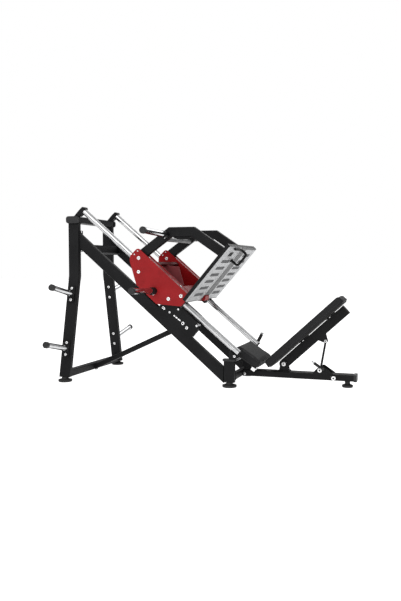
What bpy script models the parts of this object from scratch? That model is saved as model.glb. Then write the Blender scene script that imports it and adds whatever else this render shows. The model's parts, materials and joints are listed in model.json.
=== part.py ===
"""Plate-loaded incline leg press with a recumbent seat.

Metres, +Z up. Inside the machine, X runs from the rear uprights (X = 0) to the end cap behind the backrest.
Y is 0 on the centre line: the near side is -Y and the far side is +Y. The empty "machine" moves all of it so
that the footprint is centred on the world origin, with the feet at Z = 0.
"""

import math

import bmesh
import bpy
from mathutils import Matrix, Vector

# ---------------------------------------------------------------- driving dimensions
GAP = 0.0003
SIDES = ((-1, "near"), (1, "far"))
X_AXIS, Y_AXIS, Z_AXIS = Vector((1, 0, 0)), Vector((0, 1, 0)), Vector((0, 0, 1))

CAP_REAR_X = -0.058  # rearmost face, on the crossbeam caps
END_CAP_X = 2.362  # foremost face, on the base tube's end cap

# Rails: the two guide rods and the beams under them share one slope.
RAIL_ANGLE = math.radians(40.2)
ROD_TOP = (0.096, 1.436)  # centre of the rods' upper end, X and Z
ROD_LENGTH = 1.793
ROD_RADIUS = 0.025
ROD_Y = 0.311
BEAM_Y = 0.300
BEAM_OFFSET = -0.219  # beam centre line, square to the rods
TUBE_WIDE, TUBE_THIN = 0.100, 0.050
TUBE_CORNER = 0.010

# Rear stand
UPRIGHT_TOP_Y, UPRIGHT_FOOT_Y = 0.317, 0.505
UPRIGHT_BEND_Z = 0.890
CROSSBEAM_Z = (1.340, 1.396)
CROSSBEAM_HALF, CROSSBEAM_CAP_HALF = 0.345, 0.362
LOWER_CROSS_Z, LOWER_CROSS_SIZE = 0.063, 0.060
CHANNEL_X, CHANNEL_Z = (0.078, 0.128), (1.075, 1.156)
BEAM_FLANGE_Z, BEAM_FLANGE_THICK = (1.096, 1.276), 0.006
FOOT_TOP_Z = 0.040

# Front stand and floor tubes
POST_X, POST_Y, POST_SIZE = 1.385, 0.299, (0.090, 0.050)
POST_TOP_Z, POST_CAP_THICK = 0.228, 0.016
BASE_Z = (0.054, 0.107)
BASE_CAP_THICK = 0.024
BACK_FOOT_X = 2.286
MID_CROSS_RAIL = 1.243  # place along the rails of the member that the floor brace meets
MID_CROSS_SIZE = 0.060
BRACE_SIZE = 0.045

# Horns
HORN_RADIUS, HORN_CAP_RADIUS, HORN_CAP_LENGTH = 0.024, 0.027, 0.030
STORAGE_Z, STORAGE_LENGTH = {"upper": 0.727, "lower": 0.270}, 0.340
STORAGE_PLATE = (0.060, 0.140, 0.008)
WEIGHT_HORN_TIP_Y = {"upper": 0.808, "lower": 0.800}
WEIGHT_HORN_TILT = math.radians(2.1)
COLLAR_RADIUS, COLLAR_LENGTH = 0.031, {"upper": 0.080, "lower": 0.062}

# Carriage, in rail coordinates: along the rods from their upper end, and square to them
SIDE_PLATE_Y, PLATE_THICK = 0.3495, 0.008
SIDE_PLATE_OUTLINE = (
    (0.592, 0.096), (0.584, -0.002), (0.608, -0.037), (0.778, -0.149),
    (1.017, -0.154), (1.195, -0.025), (1.193, 0.088),
)
INNER_PLATE_OUTLINE = (*SIDE_PLATE_OUTLINE[:5], (1.195, 0.018), SIDE_PLATE_OUTLINE[6])
INNER_PLATE_Y = 0.2647
HOUSING_INNER_Y = 0.2730
COVER_ALONG, COVER_LEVEL = (0.700, 1.180), 0.078
HOUSING_TOP = 0.0427
HOUSINGS = {"upper": (0.620, 0.765, -0.045), "lower": (1.055, 1.190, -0.045)}
STOP_FOOT_Y, STOP_FOOT_UNDER = (0.288, 0.320), -0.098
BORE_RADIUS = 0.0259
CROSS_PLATE_LEVEL, CROSS_PLATE_FRONT_LEVEL = -0.040, 0.020
CARRIAGE_TUBE_SIZE, CARRIAGE_TUBE_Y = (0.050, 0.080), 0.303
CARRIAGE_TOP_Z = 1.251
CARRIAGE_BEND_X = (0.8835, 1.078)
CARRIAGE_TUBE_START, CARRIAGE_TUBE_END = 0.639, 0.526
CROSS_TUBE_AT, CROSS_TUBE_RADIUS = (0.836, 1.192), 0.018
FOOT_PLATE_ALONG, FOOT_PLATE_THICK = 1.209, 0.008
FOOT_PLATE_HALF, FOOT_PLATE_LEVELS = 0.417, (0.0413, 0.621)
FOOT_FRAME_DEPTH = 0.0285
HANDLE_BAR_RADIUS = 0.0105

# Safety stops
STOP_SIDE = -1  # the catch and its linkage are on the near side, the hand lever on the far side
STOP_PLATE_Y = 0.3253
CATCH_PIVOT = (1.391, -0.064)
CATCH_Y = (0.290, 0.318)
CATCH_PIN_RADIUS = 0.009
CATCH_TURN, HANDLE_TURN = math.radians(14), math.radians(24)
CRANK_Y, CRANK_WIDTH = (0.2665, 0.2725), 0.024
LINK_Y, LINK_LEVEL, LINK_HEIGHT = (0.2555, 0.2635), -0.203, 0.018
RELEASE_SHAFT_AT, RELEASE_SHAFT_RADIUS = (POST_X, 0.190), 0.008
RELEASE_HANDLE_Y = 0.353
RELEASE_HANDLE_KNEE, RELEASE_HANDLE_TIP = (1.452, 0.285), (1.497, 0.372)

# Seat and backrest
SEAT_FRONT, SEAT_SLOPE = (1.425, 0.326), math.radians(-33.0)
SEAT_LENGTH, SEAT_HALF, SEAT_THICK = 0.231, 0.216, 0.070
SEAT_BASE_THICK = 0.008
BACK_PIVOT, BACK_SLOPE = (1.772, 0.167), math.radians(42.8)
BACK_TUBE_DEPTH, BACK_TUBE_LENGTH = 0.080, 0.676
BACK_PAD_ALONG, BACK_PAD_HALF = (-0.092, 0.720), 0.150
BACK_PAD_LEVELS = (0.048, 0.115)
PIN_RADIUS, PIN_CLEARANCE = 0.008, 0.0006
STRUT_TOP, STRUT_THROAT = (2.109, 0.368), (2.078, 0.184)
STRUT_LENGTH, STRUT_RADIUS = 0.230, 0.009
STRUT_PIN_RADIUS = 0.005
LEVER_PIVOT, LEVER_TIP = (2.098, 0.146), (2.008, 0.207)


# ---------------------------------------------------------------- scene and materials
def clear_scene():
    for obj in list(bpy.data.objects):
        bpy.data.objects.remove(obj)


def paint(name, colour, roughness, metallic):
    made = bpy.data.materials.new(name)
    made.use_nodes = True
    shader = made.node_tree.nodes["Principled BSDF"]
    shader.inputs["Base Color"].default_value = (*colour, 1)
    shader.inputs["Roughness"].default_value = roughness
    shader.inputs["Metallic"].default_value = metallic
    made.diffuse_color = (*colour, 1)
    return made


clear_scene()
MACHINE = bpy.data.objects.new("machine", None)
MACHINE.location = (-(CAP_REAR_X + END_CAP_X) / 2, 0, 0)
bpy.context.scene.collection.objects.link(MACHINE)

BLACK_STEEL = paint("black_powder_coat", (0.020, 0.020, 0.021), 0.45, 0.0)
RED_STEEL = paint("red_powder_coat", (0.350, 0.018, 0.022), 0.38, 0.0)
CHROME = paint("chrome", (0.780, 0.780, 0.780), 0.12, 1.0)
SILVER = paint("silver_foot_plate", (0.560, 0.570, 0.580), 0.42, 0.6)
RUBBER = paint("black_rubber", (0.022, 0.022, 0.022), 0.75, 0.0)
VINYL = paint("charcoal_vinyl", (0.045, 0.045, 0.048), 0.60, 0.0)
ZINC = paint("zinc_steel", (0.420, 0.420, 0.430), 0.35, 1.0)


# ---------------------------------------------------------------- coordinates
RAIL_DOWN = Vector((math.cos(RAIL_ANGLE), 0, -math.sin(RAIL_ANGLE)))
RAIL_UP = Vector((math.sin(RAIL_ANGLE), 0, math.cos(RAIL_ANGLE)))
SPLAY = math.atan2(UPRIGHT_FOOT_Y - UPRIGHT_TOP_Y, UPRIGHT_BEND_Z)
SEAT_BACK = Vector((math.cos(SEAT_SLOPE), 0, math.sin(SEAT_SLOPE)))
SEAT_UP = Vector((-math.sin(SEAT_SLOPE), 0, math.cos(SEAT_SLOPE)))
BACK_ALONG = Vector((math.cos(BACK_SLOPE), 0, math.sin(BACK_SLOPE)))
BACK_OUT = Vector((-math.sin(BACK_SLOPE), 0, math.cos(BACK_SLOPE)))


def at(xz, y=0.0):
    return Vector((xz[0], y, xz[1]))


def rail(along, level, y=0.0):
    """A point this far down the rods from their upper end, and this far square to them."""
    return at(ROD_TOP, y) + along * RAIL_DOWN + level * RAIL_UP


def upright_y(z):
    return UPRIGHT_TOP_Y + max(0.0, UPRIGHT_BEND_Z - z) * math.tan(SPLAY)


def ordered(side, inner, outer):
    return sorted((side * inner, side * outer))


# ---------------------------------------------------------------- meshes
def mesh_of(rings, closed_ends=True):
    """A skin over rings of points, which all have the same count, with a face on each end."""
    shape = bmesh.new()
    loops = [[shape.verts.new(point) for point in ring] for ring in rings]
    count = len(loops[0])
    for first, second in zip(loops, loops[1:]):
        for i in range(count):
            j = (i + 1) % count
            shape.faces.new((first[i], first[j], second[j], second[i]))
    if closed_ends:
        shape.faces.new(loops[0])
        shape.faces.new(loops[-1])
    bmesh.ops.recalc_face_normals(shape, faces=shape.faces)
    mesh = bpy.data.meshes.new("shape")
    shape.to_mesh(mesh)
    shape.free()
    return mesh


def arc(centre, radius, start, stop, steps):
    turns = [start + (stop - start) * i / steps for i in range(steps + 1)]
    return [(centre[0] + radius * math.cos(a), centre[1] + radius * math.sin(a)) for a in turns]


def rounded(points, radius, steps=3):
    """The polygon with each corner replaced by an arc of at most this radius."""
    corners = [Vector(point) for point in points]
    outline = []
    for i, corner in enumerate(corners):
        before = (corners[i - 1] - corner).normalized()
        after = (corners[(i + 1) % len(corners)] - corner).normalized()
        half = before.angle(after) / 2
        nearest = min((corners[i - 1] - corner).length, (corners[(i + 1) % len(corners)] - corner).length)
        used = min(radius, 0.45 * nearest * math.tan(half))
        centre = corner + (before + after).normalized() * used / math.sin(half)
        first = corner + before * used / math.tan(half) - centre
        last = corner + after * used / math.tan(half) - centre
        sweep = first.angle_signed(last)
        for step in range(steps + 1):
            turned = first.copy()
            turned.rotate(Matrix.Rotation(-sweep * step / steps, 2))
            outline.append(tuple(centre + turned))
    return outline


def rectangle(low, high):
    return [(low[0], low[1]), (high[0], low[1]), (high[0], high[1]), (low[0], high[1])]


def slab(outline, origin, along, up, thick_axis, low, high):
    """The outline, in the plane of along and up through origin, made solid from low to high on thick_axis."""
    flat = [origin + a * along + b * up for a, b in outline]
    return mesh_of([[point + level * thick_axis for point in flat] for level in (low, high)])


def plate(outline, y_low, y_high):
    """An outline of X and Z, solid between two Y values."""
    return slab(outline, Vector(), X_AXIS, Z_AXIS, Y_AXIS, y_low, y_high)


def rail_plate(outline, y_low, y_high):
    """An outline in rail coordinates, solid between two Y values."""
    return slab(outline, at(ROD_TOP), RAIL_DOWN, RAIL_UP, Y_AXIS, y_low, y_high)


def back_plate(outline, y_low, y_high):
    """An outline along and square to the backrest tube, solid between two Y values."""
    return slab(outline, at(BACK_PIVOT), BACK_ALONG, BACK_OUT, Y_AXIS, y_low, y_high)


def box(low, high):
    return plate(rectangle((low[0], low[2]), (high[0], high[2])), low[1], high[1])


def bar(path, width, depth, across, corner=TUBE_CORNER, start_face=None, end_face=None):
    """A rounded rectangular tube along the path, mitred at its bends. Its width lies along across."""
    path = [Vector(point) for point in path]
    section = rounded(rectangle((-width / 2, -depth / 2), (width / 2, depth / 2)), corner, 2)
    runs = [(b - a).normalized() for a, b in zip(path, path[1:])]
    faces = [start_face or runs[0]]
    faces += [(a + b).normalized() for a, b in zip(runs, runs[1:])]
    faces += [end_face or runs[-1]]
    rings = []
    for i, point in enumerate(path):
        run = runs[min(i, len(runs) - 1)]
        side = across.cross(run).normalized()
        ring = []
        for a, b in section:
            offset = a * across + b * side
            ring.append(point + offset - run * (offset.dot(faces[i]) / run.dot(faces[i])))
        rings.append(ring)
    return mesh_of(rings)


def ring_points(centre, axis, radius, sides):
    first = (Y_AXIS if abs(axis.dot(Y_AXIS)) < 0.9 else X_AXIS).cross(axis).normalized()
    second = axis.cross(first)
    turns = [2 * math.pi * (i + 0.5) / sides for i in range(sides)]
    return [centre + radius * (math.cos(a) * first + math.sin(a) * second) for a in turns]


def turned(start, axis, profile, sides=20):
    """A solid of revolution: profile is (distance along the axis, radius) from one end to the other."""
    return mesh_of([ring_points(start + d * axis, axis, r, sides) for d, r in profile])


def rod(start, end, radius, sides=16):
    axis = (end - start).normalized()
    return turned(start, axis, [(0, radius), ((end - start).length, radius)], sides)


# ---------------------------------------------------------------- objects
def place(name, mesh, material, origin=Vector()):
    """The mesh as a named object whose own origin is at the point given, on the machine."""
    mesh.name = name
    mesh.transform(Matrix.Translation(-origin))
    mesh.materials.append(material)
    mesh.shade_smooth()
    mesh.set_sharp_from_angle(angle=math.radians(35))
    obj = bpy.data.objects.new(name, mesh)
    obj.location = origin
    obj.parent = MACHINE
    bpy.context.scene.collection.objects.link(obj)
    return obj


def combine(obj, meshes, operation):
    """Joins the meshes to the object, or cuts them from it, one Boolean each."""
    for number, mesh in enumerate(meshes):
        tool = place(f"{obj.name}.{operation.lower()}.{number}", mesh, obj.data.materials[0])
        tool.hide_render = True
        tool.display_type = "WIRE"
        step = obj.modifiers.new(f"{operation.lower()} {number}", "BOOLEAN")
        step.operation = operation
        step.object = tool
    return obj


def join(obj, *meshes):
    return combine(obj, meshes, "UNION")


def cut(obj, *meshes):
    return combine(obj, meshes, "DIFFERENCE")


# ---------------------------------------------------------------- rear stand
def rear_uprights():
    for side, word in SIDES:
        path = [
            (0, side * UPRIGHT_TOP_Y, CROSSBEAM_Z[0] - GAP),
            (0, side * UPRIGHT_TOP_Y, UPRIGHT_BEND_Z),
            (0, side * upright_y(FOOT_TOP_Z), FOOT_TOP_Z),
        ]
        place(f"rear_upright_{word}", bar(path, TUBE_WIDE, TUBE_THIN, X_AXIS, end_face=-Z_AXIS), BLACK_STEEL)


def top_crossbeam():
    middle, depth = sum(CROSSBEAM_Z) / 2, CROSSBEAM_Z[1] - CROSSBEAM_Z[0]
    ends = [(0, -CROSSBEAM_HALF, middle), (0, CROSSBEAM_HALF, middle)]
    beam = place("top_crossbeam", bar(ends, TUBE_WIDE, depth, X_AXIS), BLACK_STEEL)
    caps = []
    for side, _ in SIDES:
        inner, outer = side * (CROSSBEAM_HALF - 0.002), side * CROSSBEAM_CAP_HALF
        path = [(0, inner, middle), (0, outer, middle)]
        caps.append(bar(path, -2 * CAP_REAR_X, depth + 0.004, X_AXIS, 0.018))
    join(beam, *caps)


def rear_lower_crosstube():
    half = upright_y(LOWER_CROSS_Z) - (TUBE_THIN / 2 + GAP) / math.cos(SPLAY)
    faces = [Vector((0, side * math.cos(SPLAY), math.sin(SPLAY))) for side, _ in SIDES]
    path = [(0, -half, LOWER_CROSS_Z), (0, half, LOWER_CROSS_Z)]
    tube = bar(path, LOWER_CROSS_SIZE, LOWER_CROSS_SIZE, X_AXIS, 0.008, faces[0], faces[1])
    place("rear_lower_crosstube", tube, BLACK_STEEL)


def upper_cross_channel():
    lip_depth, lip_height = 0.014, 0.016
    half = BEAM_Y - TUBE_THIN / 2 - GAP
    outline = [
        (CHANNEL_X[0], CHANNEL_Z[0]), (CHANNEL_X[1] + lip_depth, CHANNEL_Z[0]),
        (CHANNEL_X[1] + lip_depth, CHANNEL_Z[0] + lip_height), (CHANNEL_X[1], CHANNEL_Z[0] + lip_height),
        (CHANNEL_X[1], CHANNEL_Z[1]), (CHANNEL_X[0], CHANNEL_Z[1]),
    ]
    place("upper_cross_channel", plate(outline, -half, half), BLACK_STEEL)


def slanted_beams():
    flange_x = TUBE_WIDE / 2 + GAP
    for side, word in SIDES:
        ends = []
        for x in (flange_x + BEAM_FLANGE_THICK / 2, POST_X - POST_SIZE[0] / 2 - GAP):
            along = (x - rail(0, BEAM_OFFSET).x) / RAIL_DOWN.x
            ends.append(rail(along, BEAM_OFFSET, side * BEAM_Y))
        tube = bar(ends, TUBE_THIN, TUBE_WIDE, Y_AXIS, start_face=X_AXIS, end_face=X_AXIS)
        beam = place(f"slanted_beam_{word}", tube, BLACK_STEEL)
        y_low, y_high = ordered(side, BEAM_Y - TUBE_THIN / 2 - 0.002, BEAM_Y + TUBE_THIN / 2 + 0.002)
        low = (flange_x, y_low, BEAM_FLANGE_Z[0])
        high = (flange_x + BEAM_FLANGE_THICK, y_high, BEAM_FLANGE_Z[1])
        join(beam, box(low, high))


def floor_brace():
    """The longitudinal tube and, welded to its upper end, the member between the slanted beams."""
    lower = Vector((LOWER_CROSS_SIZE / 2 + GAP, 0, LOWER_CROSS_Z - 0.005))
    upper = rail(MID_CROSS_RAIL, BEAM_OFFSET)
    tube = bar([lower, upper], BRACE_SIZE, BRACE_SIZE, Y_AXIS, start_face=X_AXIS)
    brace = place("floor_brace", tube, BLACK_STEEL)
    half = BEAM_Y - TUBE_THIN / 2 - GAP
    s, n, reach = MID_CROSS_RAIL, BEAM_OFFSET, MID_CROSS_SIZE / 2
    section = rounded(rectangle((s - reach, n - reach), (s + reach, n + reach)), 0.008, 2)
    join(brace, rail_plate(section, -half, half))


def rod_top_brackets():
    """Arms that rise from the crossbeam and close the rods' upper ends."""
    top = CROSSBEAM_Z[1] + GAP
    lip = -GAP
    tail = [rail(lip, 0.028), rail(-0.014, 0.036), rail(-0.034, 0.024), rail(-0.040, -0.014)]
    outline = [(0.004, top), (0.055, top), (rail(lip, -0.034).x, rail(lip, -0.034).z)]
    outline += [(point.x, point.z) for point in tail]
    for side, word in SIDES:
        y_low, y_high = ordered(side, ROD_Y - 0.027, ROD_Y + 0.027)
        place(f"rod_top_bracket_{word}", plate(outline, y_low, y_high), BLACK_STEEL)


def guide_rods():
    for side, word in SIDES:
        y = side * ROD_Y
        place(f"guide_rod_{word}", rod(rail(0, 0, y), rail(ROD_LENGTH, 0, y), ROD_RADIUS, 24), CHROME)


def rod_lower_brackets():
    """Saddles on the front posts, with an end plate across each rod."""
    floor, under = POST_TOP_Z + GAP, -ROD_RADIUS - GAP
    saddle_start, face, outer = 1.735, ROD_LENGTH + GAP, ROD_LENGTH + 0.010
    corners = [rail(outer, -0.050), rail(outer, 0.020), rail(face, 0.020), rail(face, under)]
    corners += [rail(saddle_start, under), rail(saddle_start - 0.010, -0.040)]
    outline = [(1.392, floor), (1.432, floor)] + [(point.x, point.z) for point in corners]
    for side, word in SIDES:
        y_low, y_high = ordered(side, ROD_Y - 0.025, ROD_Y + 0.025)
        place(f"rod_lower_bracket_{word}", plate(outline, y_low, y_high), BLACK_STEEL)


# ---------------------------------------------------------------- front stand, floor tubes and feet
def front_posts():
    for side, word in SIDES:
        y = side * POST_Y
        path = [(POST_X, y, FOOT_TOP_Z), (POST_X, y, POST_TOP_Z - POST_CAP_THICK / 2)]
        post = place(f"front_post_{word}", bar(path, *POST_SIZE, X_AXIS), BLACK_STEEL)
        lip = rounded(rectangle((-0.054, -0.031), (0.054, 0.031)), 0.012, 2)
        low = POST_TOP_Z - POST_CAP_THICK
        join(post, slab(lip, Vector((POST_X, y, 0)), X_AXIS, Y_AXIS, Z_AXIS, low, POST_TOP_Z))
        hole = RELEASE_SHAFT_RADIUS + PIN_CLEARANCE
        cut(post, rod(at(RELEASE_SHAFT_AT, y - 0.05), at(RELEASE_SHAFT_AT, y + 0.05), hole))


def floor_tubes():
    middle, depth = sum(BASE_Z) / 2, BASE_Z[1] - BASE_Z[0]
    half = POST_Y - POST_SIZE[1] / 2 - GAP
    cross_wide = 0.052
    cross_x = POST_X + POST_SIZE[0] / 2 - cross_wide / 2
    cross = bar([(cross_x, -half, middle), (cross_x, half, middle)], cross_wide, depth, X_AXIS)
    place("front_crosstube", cross, BLACK_STEEL)
    start = POST_X + POST_SIZE[0] / 2 + GAP
    cap_start = END_CAP_X - BASE_CAP_THICK
    tube = bar([(start, 0, middle), (cap_start + 0.002, 0, middle)], TUBE_WIDE, depth, Y_AXIS)
    base = place("base_tube", tube, BLACK_STEEL)
    cap_path = [(cap_start, 0, middle), (END_CAP_X, 0, middle)]
    join(base, bar(cap_path, TUBE_WIDE + 0.008, depth + 0.008, Y_AXIS, 0.014))


def feet():
    """Turned rubber feet: a flared pad under a neck, pushed into the tube above."""
    spots = {}
    for side, word in SIDES:
        spots[f"rear_foot_{word}"] = (0, side * upright_y(FOOT_TOP_Z / 2), FOOT_TOP_Z, 0.058)
        spots[f"front_foot_{word}"] = (POST_X, side * POST_Y, FOOT_TOP_Z, 0.058)
    spots["back_foot"] = (BACK_FOOT_X, 0, BASE_Z[0], 0.0435)
    for name, (x, y, top, radius) in spots.items():
        neck = 0.48 * radius
        profile = [
            (0, radius - 0.004), (0.005, radius), (0.019, radius),
            (0.026, neck + 0.004), (0.032, neck), (top - GAP, neck),
        ]
        place(name, turned(Vector((x, y, 0)), Z_AXIS, profile, 24), RUBBER)


# ---------------------------------------------------------------- plate horns
def horn(name, base, axis, reach, first_mesh, origin=Vector()):
    """A sleeve with an end cap, on the plate or collar given."""
    obj = place(name, first_mesh, CHROME, origin)
    cap_start = reach - HORN_CAP_LENGTH
    sleeve = rod(base + 0.002 * axis, base + (cap_start + 0.004) * axis, HORN_RADIUS, 20)
    cap = [
        (cap_start, HORN_CAP_RADIUS), (reach - 0.005, HORN_CAP_RADIUS), (reach, HORN_CAP_RADIUS - 0.005),
    ]
    return join(obj, sleeve, turned(base, axis, cap, 20))


def storage_horns():
    width, height, thick = STORAGE_PLATE
    for side, word in SIDES:
        axis = Vector((0, side * math.cos(SPLAY), math.sin(SPLAY)))
        for level, z in STORAGE_Z.items():
            base = Vector((0, side * upright_y(z), z)) + axis * (TUBE_THIN / 2 + GAP)
            mount = bar([base, base + axis * thick], width, height, X_AXIS, 0.010)
            horn(f"storage_horn_{level}_{word}", base, axis, STORAGE_LENGTH, mount)


def weight_horns():
    tube_face = CARRIAGE_TUBE_Y + CARRIAGE_TUBE_SIZE[0] / 2 + GAP
    plate_face = SIDE_PLATE_Y + PLATE_THICK + GAP
    spots = {"upper": (Vector((0.850, 0, 1.228)), tube_face), "lower": (rail(0.932, -0.086), plate_face)}
    for side, word in SIDES:
        axis = Vector((0, side * math.cos(WEIGHT_HORN_TILT), math.sin(WEIGHT_HORN_TILT)))
        for level, (spot, face) in spots.items():
            base = Vector((spot.x, side * face, spot.z))
            collar = turned(base, side * Y_AXIS, [(0, COLLAR_RADIUS), (COLLAR_LENGTH[level], COLLAR_RADIUS)])
            reach = (WEIGHT_HORN_TIP_Y[level] - face) / math.cos(WEIGHT_HORN_TILT)
            horn(f"weight_horn_{level}_{word}", base, axis, reach, collar, base)


# ---------------------------------------------------------------- carriage
def side_plates():
    """Each side has an outer plate, with a cover over its rod, and an inner plate cut back at the front."""
    outline = rounded(SIDE_PLATE_OUTLINE, 0.028)
    inner_outline = rounded(INNER_PLATE_OUTLINE, 0.028)
    for side, word in SIDES:
        origin = rail(0, 0, side * ROD_Y)
        outer = rail_plate(outline, *ordered(side, SIDE_PLATE_Y, SIDE_PLATE_Y + PLATE_THICK))
        plate_obj = place(f"carriage_side_plate_{word}", outer, RED_STEEL, origin)
        strip = rectangle((COVER_ALONG[0], COVER_LEVEL), (COVER_ALONG[1], COVER_LEVEL + PLATE_THICK))
        cover_y = ordered(side, INNER_PLATE_Y + PLATE_THICK + GAP, SIDE_PLATE_Y + PLATE_THICK / 2)
        join(plate_obj, rail_plate(strip, *cover_y))
        inner = rail_plate(inner_outline, *ordered(side, INNER_PLATE_Y, INNER_PLATE_Y + PLATE_THICK))
        place(f"carriage_inner_plate_{word}", inner, RED_STEEL, origin)


def bearing_housings():
    """Blocks that slide on the rods. The lower near one carries the foot that lands on the safety catch."""
    for side, word in SIDES:
        y_low, y_high = ordered(side, HOUSING_INNER_Y, SIDE_PLATE_Y - GAP)
        for level, (start, stop, under) in HOUSINGS.items():
            outline = rounded(rectangle((y_low, under), (y_high, HOUSING_TOP)), 0.012, 2)
            body = slab(outline, at(ROD_TOP), Y_AXIS, RAIL_UP, RAIL_DOWN, start, stop)
            origin = rail(0, 0, side * ROD_Y)
            block = place(f"bearing_housing_{level}_{word}", body, BLACK_STEEL, origin)
            if level == "lower" and side == STOP_SIDE:
                foot = rectangle((start, STOP_FOOT_UNDER), (stop, under + 0.002))
                join(block, rail_plate(foot, *ordered(side, *STOP_FOOT_Y)))
            ends = [rail(along, 0, side * ROD_Y) for along in (start - 0.02, stop + 0.02)]
            cut(block, rod(*ends, BORE_RADIUS, 24))


def carriage_tubes():
    """Bent tubes from the housings up, over and down to the foot plate, each with a shallow gusset below."""
    start = rail(CARRIAGE_TUBE_START, HOUSING_TOP + GAP)
    end = rail(FOOT_PLATE_ALONG - GAP - FOOT_FRAME_DEPTH - GAP, CARRIAGE_TUBE_END)
    bends = [Vector((x, 0, CARRIAGE_TOP_Z)) for x in CARRIAGE_BEND_X]
    under = CARRIAGE_TOP_Z - CARRIAGE_TUBE_SIZE[1] / 2 + 0.003
    span, sag = (0.892, 1.070), 0.026
    middle = sum(span) / 2
    half = (span[1] - span[0]) / 2
    radius = (half * half + sag * sag) / (2 * sag)
    swing = math.asin(half / radius)
    down = -math.pi / 2
    curve = arc((middle, under + radius - sag), radius, down - swing, down + swing, 8)
    for side, word in SIDES:
        path = [point + Vector((0, side * CARRIAGE_TUBE_Y, 0)) for point in [start, *bends, end]]
        tube = bar(path, *CARRIAGE_TUBE_SIZE, Y_AXIS, start_face=RAIL_UP, end_face=RAIL_DOWN)
        obj = place(f"carriage_tube_{word}", tube, BLACK_STEEL, rail(0, 0, side * ROD_Y))
        y_low, y_high = ordered(side, CARRIAGE_TUBE_Y - 0.004, CARRIAGE_TUBE_Y + 0.004)
        join(obj, plate(curve, y_low, y_high))


def carriage_cross_tube():
    half = CARRIAGE_TUBE_Y - CARRIAGE_TUBE_SIZE[0] / 2 - GAP
    tube = rod(at(CROSS_TUBE_AT, -half), at(CROSS_TUBE_AT, half), CROSS_TUBE_RADIUS)
    place("carriage_cross_tube", tube, ZINC, rail(0, 0))


def carriage_cross_plate():
    """The floor between the inner plates, stepped up at the front, with a cross bar, a gusset and a nose."""
    wide, start, bend, stop = INNER_PLATE_Y - GAP, 0.640, 0.990, 1.190
    notch_half, notch_depth, notch_steps = 0.150, 0.035, 10
    notch = []
    for i in range(notch_steps + 1):
        turn = math.pi * (i / notch_steps - 0.5)
        notch.append((start + notch_depth * math.cos(turn), -notch_half * math.sin(turn)))
    outline = [(start, wide), *notch, (start, -wide), (bend, -wide), (bend, wide)]
    low, high = CROSS_PLATE_LEVEL, CROSS_PLATE_LEVEL + PLATE_THICK
    front_low, front_high = CROSS_PLATE_FRONT_LEVEL, CROSS_PLATE_FRONT_LEVEL + PLATE_THICK
    tray = slab(outline, at(ROD_TOP), RAIL_DOWN, Y_AXIS, RAIL_UP, low, high)
    obj = place("carriage_cross_plate", tray, RED_STEEL, rail(0, 0))
    step = [
        (bend - 0.008, low + 0.002), (bend + 0.032, front_low), (stop, front_low),
        (stop, front_high), (bend + 0.028, front_high), (bend - 0.015, low + 0.006),
    ]
    step_half = wide - 0.001
    bar = rectangle((0.750, 0.046), (0.780, 0.074))
    gusset_half, nose_low_y, nose_high_y = 0.005, -0.040, 0.055
    gusset = [
        (0.740, high - 0.002), (bend - 0.006, high - 0.002), (bend + 0.016, 0.004),
        (bend + 0.016, 0.031), (0.868, 0.121), (0.800, 0.072), (0.766, 0.062),
    ]
    front, sill = FOOT_PLATE_ALONG + FOOT_PLATE_THICK + GAP, FOOT_PLATE_LEVELS[0] - GAP
    nose = [
        (1.140, front_low + 0.003), (1.160, front_low - 0.004), (1.200, 0.028), (1.243, 0.056),
        (1.243, 0.076), (front + 0.010, 0.098), (front, 0.098), (front, sill), (1.155, sill),
    ]
    join(obj, rail_plate(step, -step_half, step_half))
    join(obj, rail_plate(gusset, -gusset_half, gusset_half), rail_plate(nose, nose_low_y, nose_high_y))
    join(obj, rail_plate(bar, -step_half, step_half))


def foot_plate_frame():
    """The frame behind the foot plate: an edge all round, open at the bottom, and two posts for the tubes."""
    origin = at(ROD_TOP)
    low, high = FOOT_PLATE_LEVELS
    stop = FOOT_PLATE_ALONG - GAP
    start = stop - FOOT_FRAME_DEPTH
    edge = 0.025
    outline = rectangle((-FOOT_PLATE_HALF, low), (FOOT_PLATE_HALF, high))
    slab_mesh = slab(rounded(outline, 0.006, 1), origin, Y_AXIS, RAIL_UP, RAIL_DOWN, start, stop)
    obj = place("foot_plate_frame", slab_mesh, BLACK_STEEL, rail(0, 0))
    inner = FOOT_PLATE_HALF - edge
    post_in, post_out = (CARRIAGE_TUBE_Y + step * CARRIAGE_TUBE_SIZE[0] / 2 for step in (-1, 1))
    sill = 0.092
    windows = [
        (-inner, low - 0.010, inner, sill),
        (-post_in, sill + edge, post_in, high - edge),
        (-inner, sill + edge, -post_out, high - edge),
        (post_out, sill + edge, inner, high - edge),
    ]
    for left, bottom, right, top in windows:
        opening = rectangle((left, bottom), (right, top))
        cut(obj, slab(opening, origin, Y_AXIS, RAIL_UP, RAIL_DOWN, start - 0.01, stop + 0.01))


def foot_plate():
    origin = at(ROD_TOP)
    start, stop = FOOT_PLATE_ALONG, FOOT_PLATE_ALONG + FOOT_PLATE_THICK
    low, high = FOOT_PLATE_LEVELS
    outline = rounded(rectangle((-FOOT_PLATE_HALF, low), (FOOT_PLATE_HALF, high)), 0.020, 3)
    place("foot_plate", slab(outline, origin, Y_AXIS, RAIL_UP, RAIL_DOWN, start, stop), SILVER, rail(0, 0))


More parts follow.
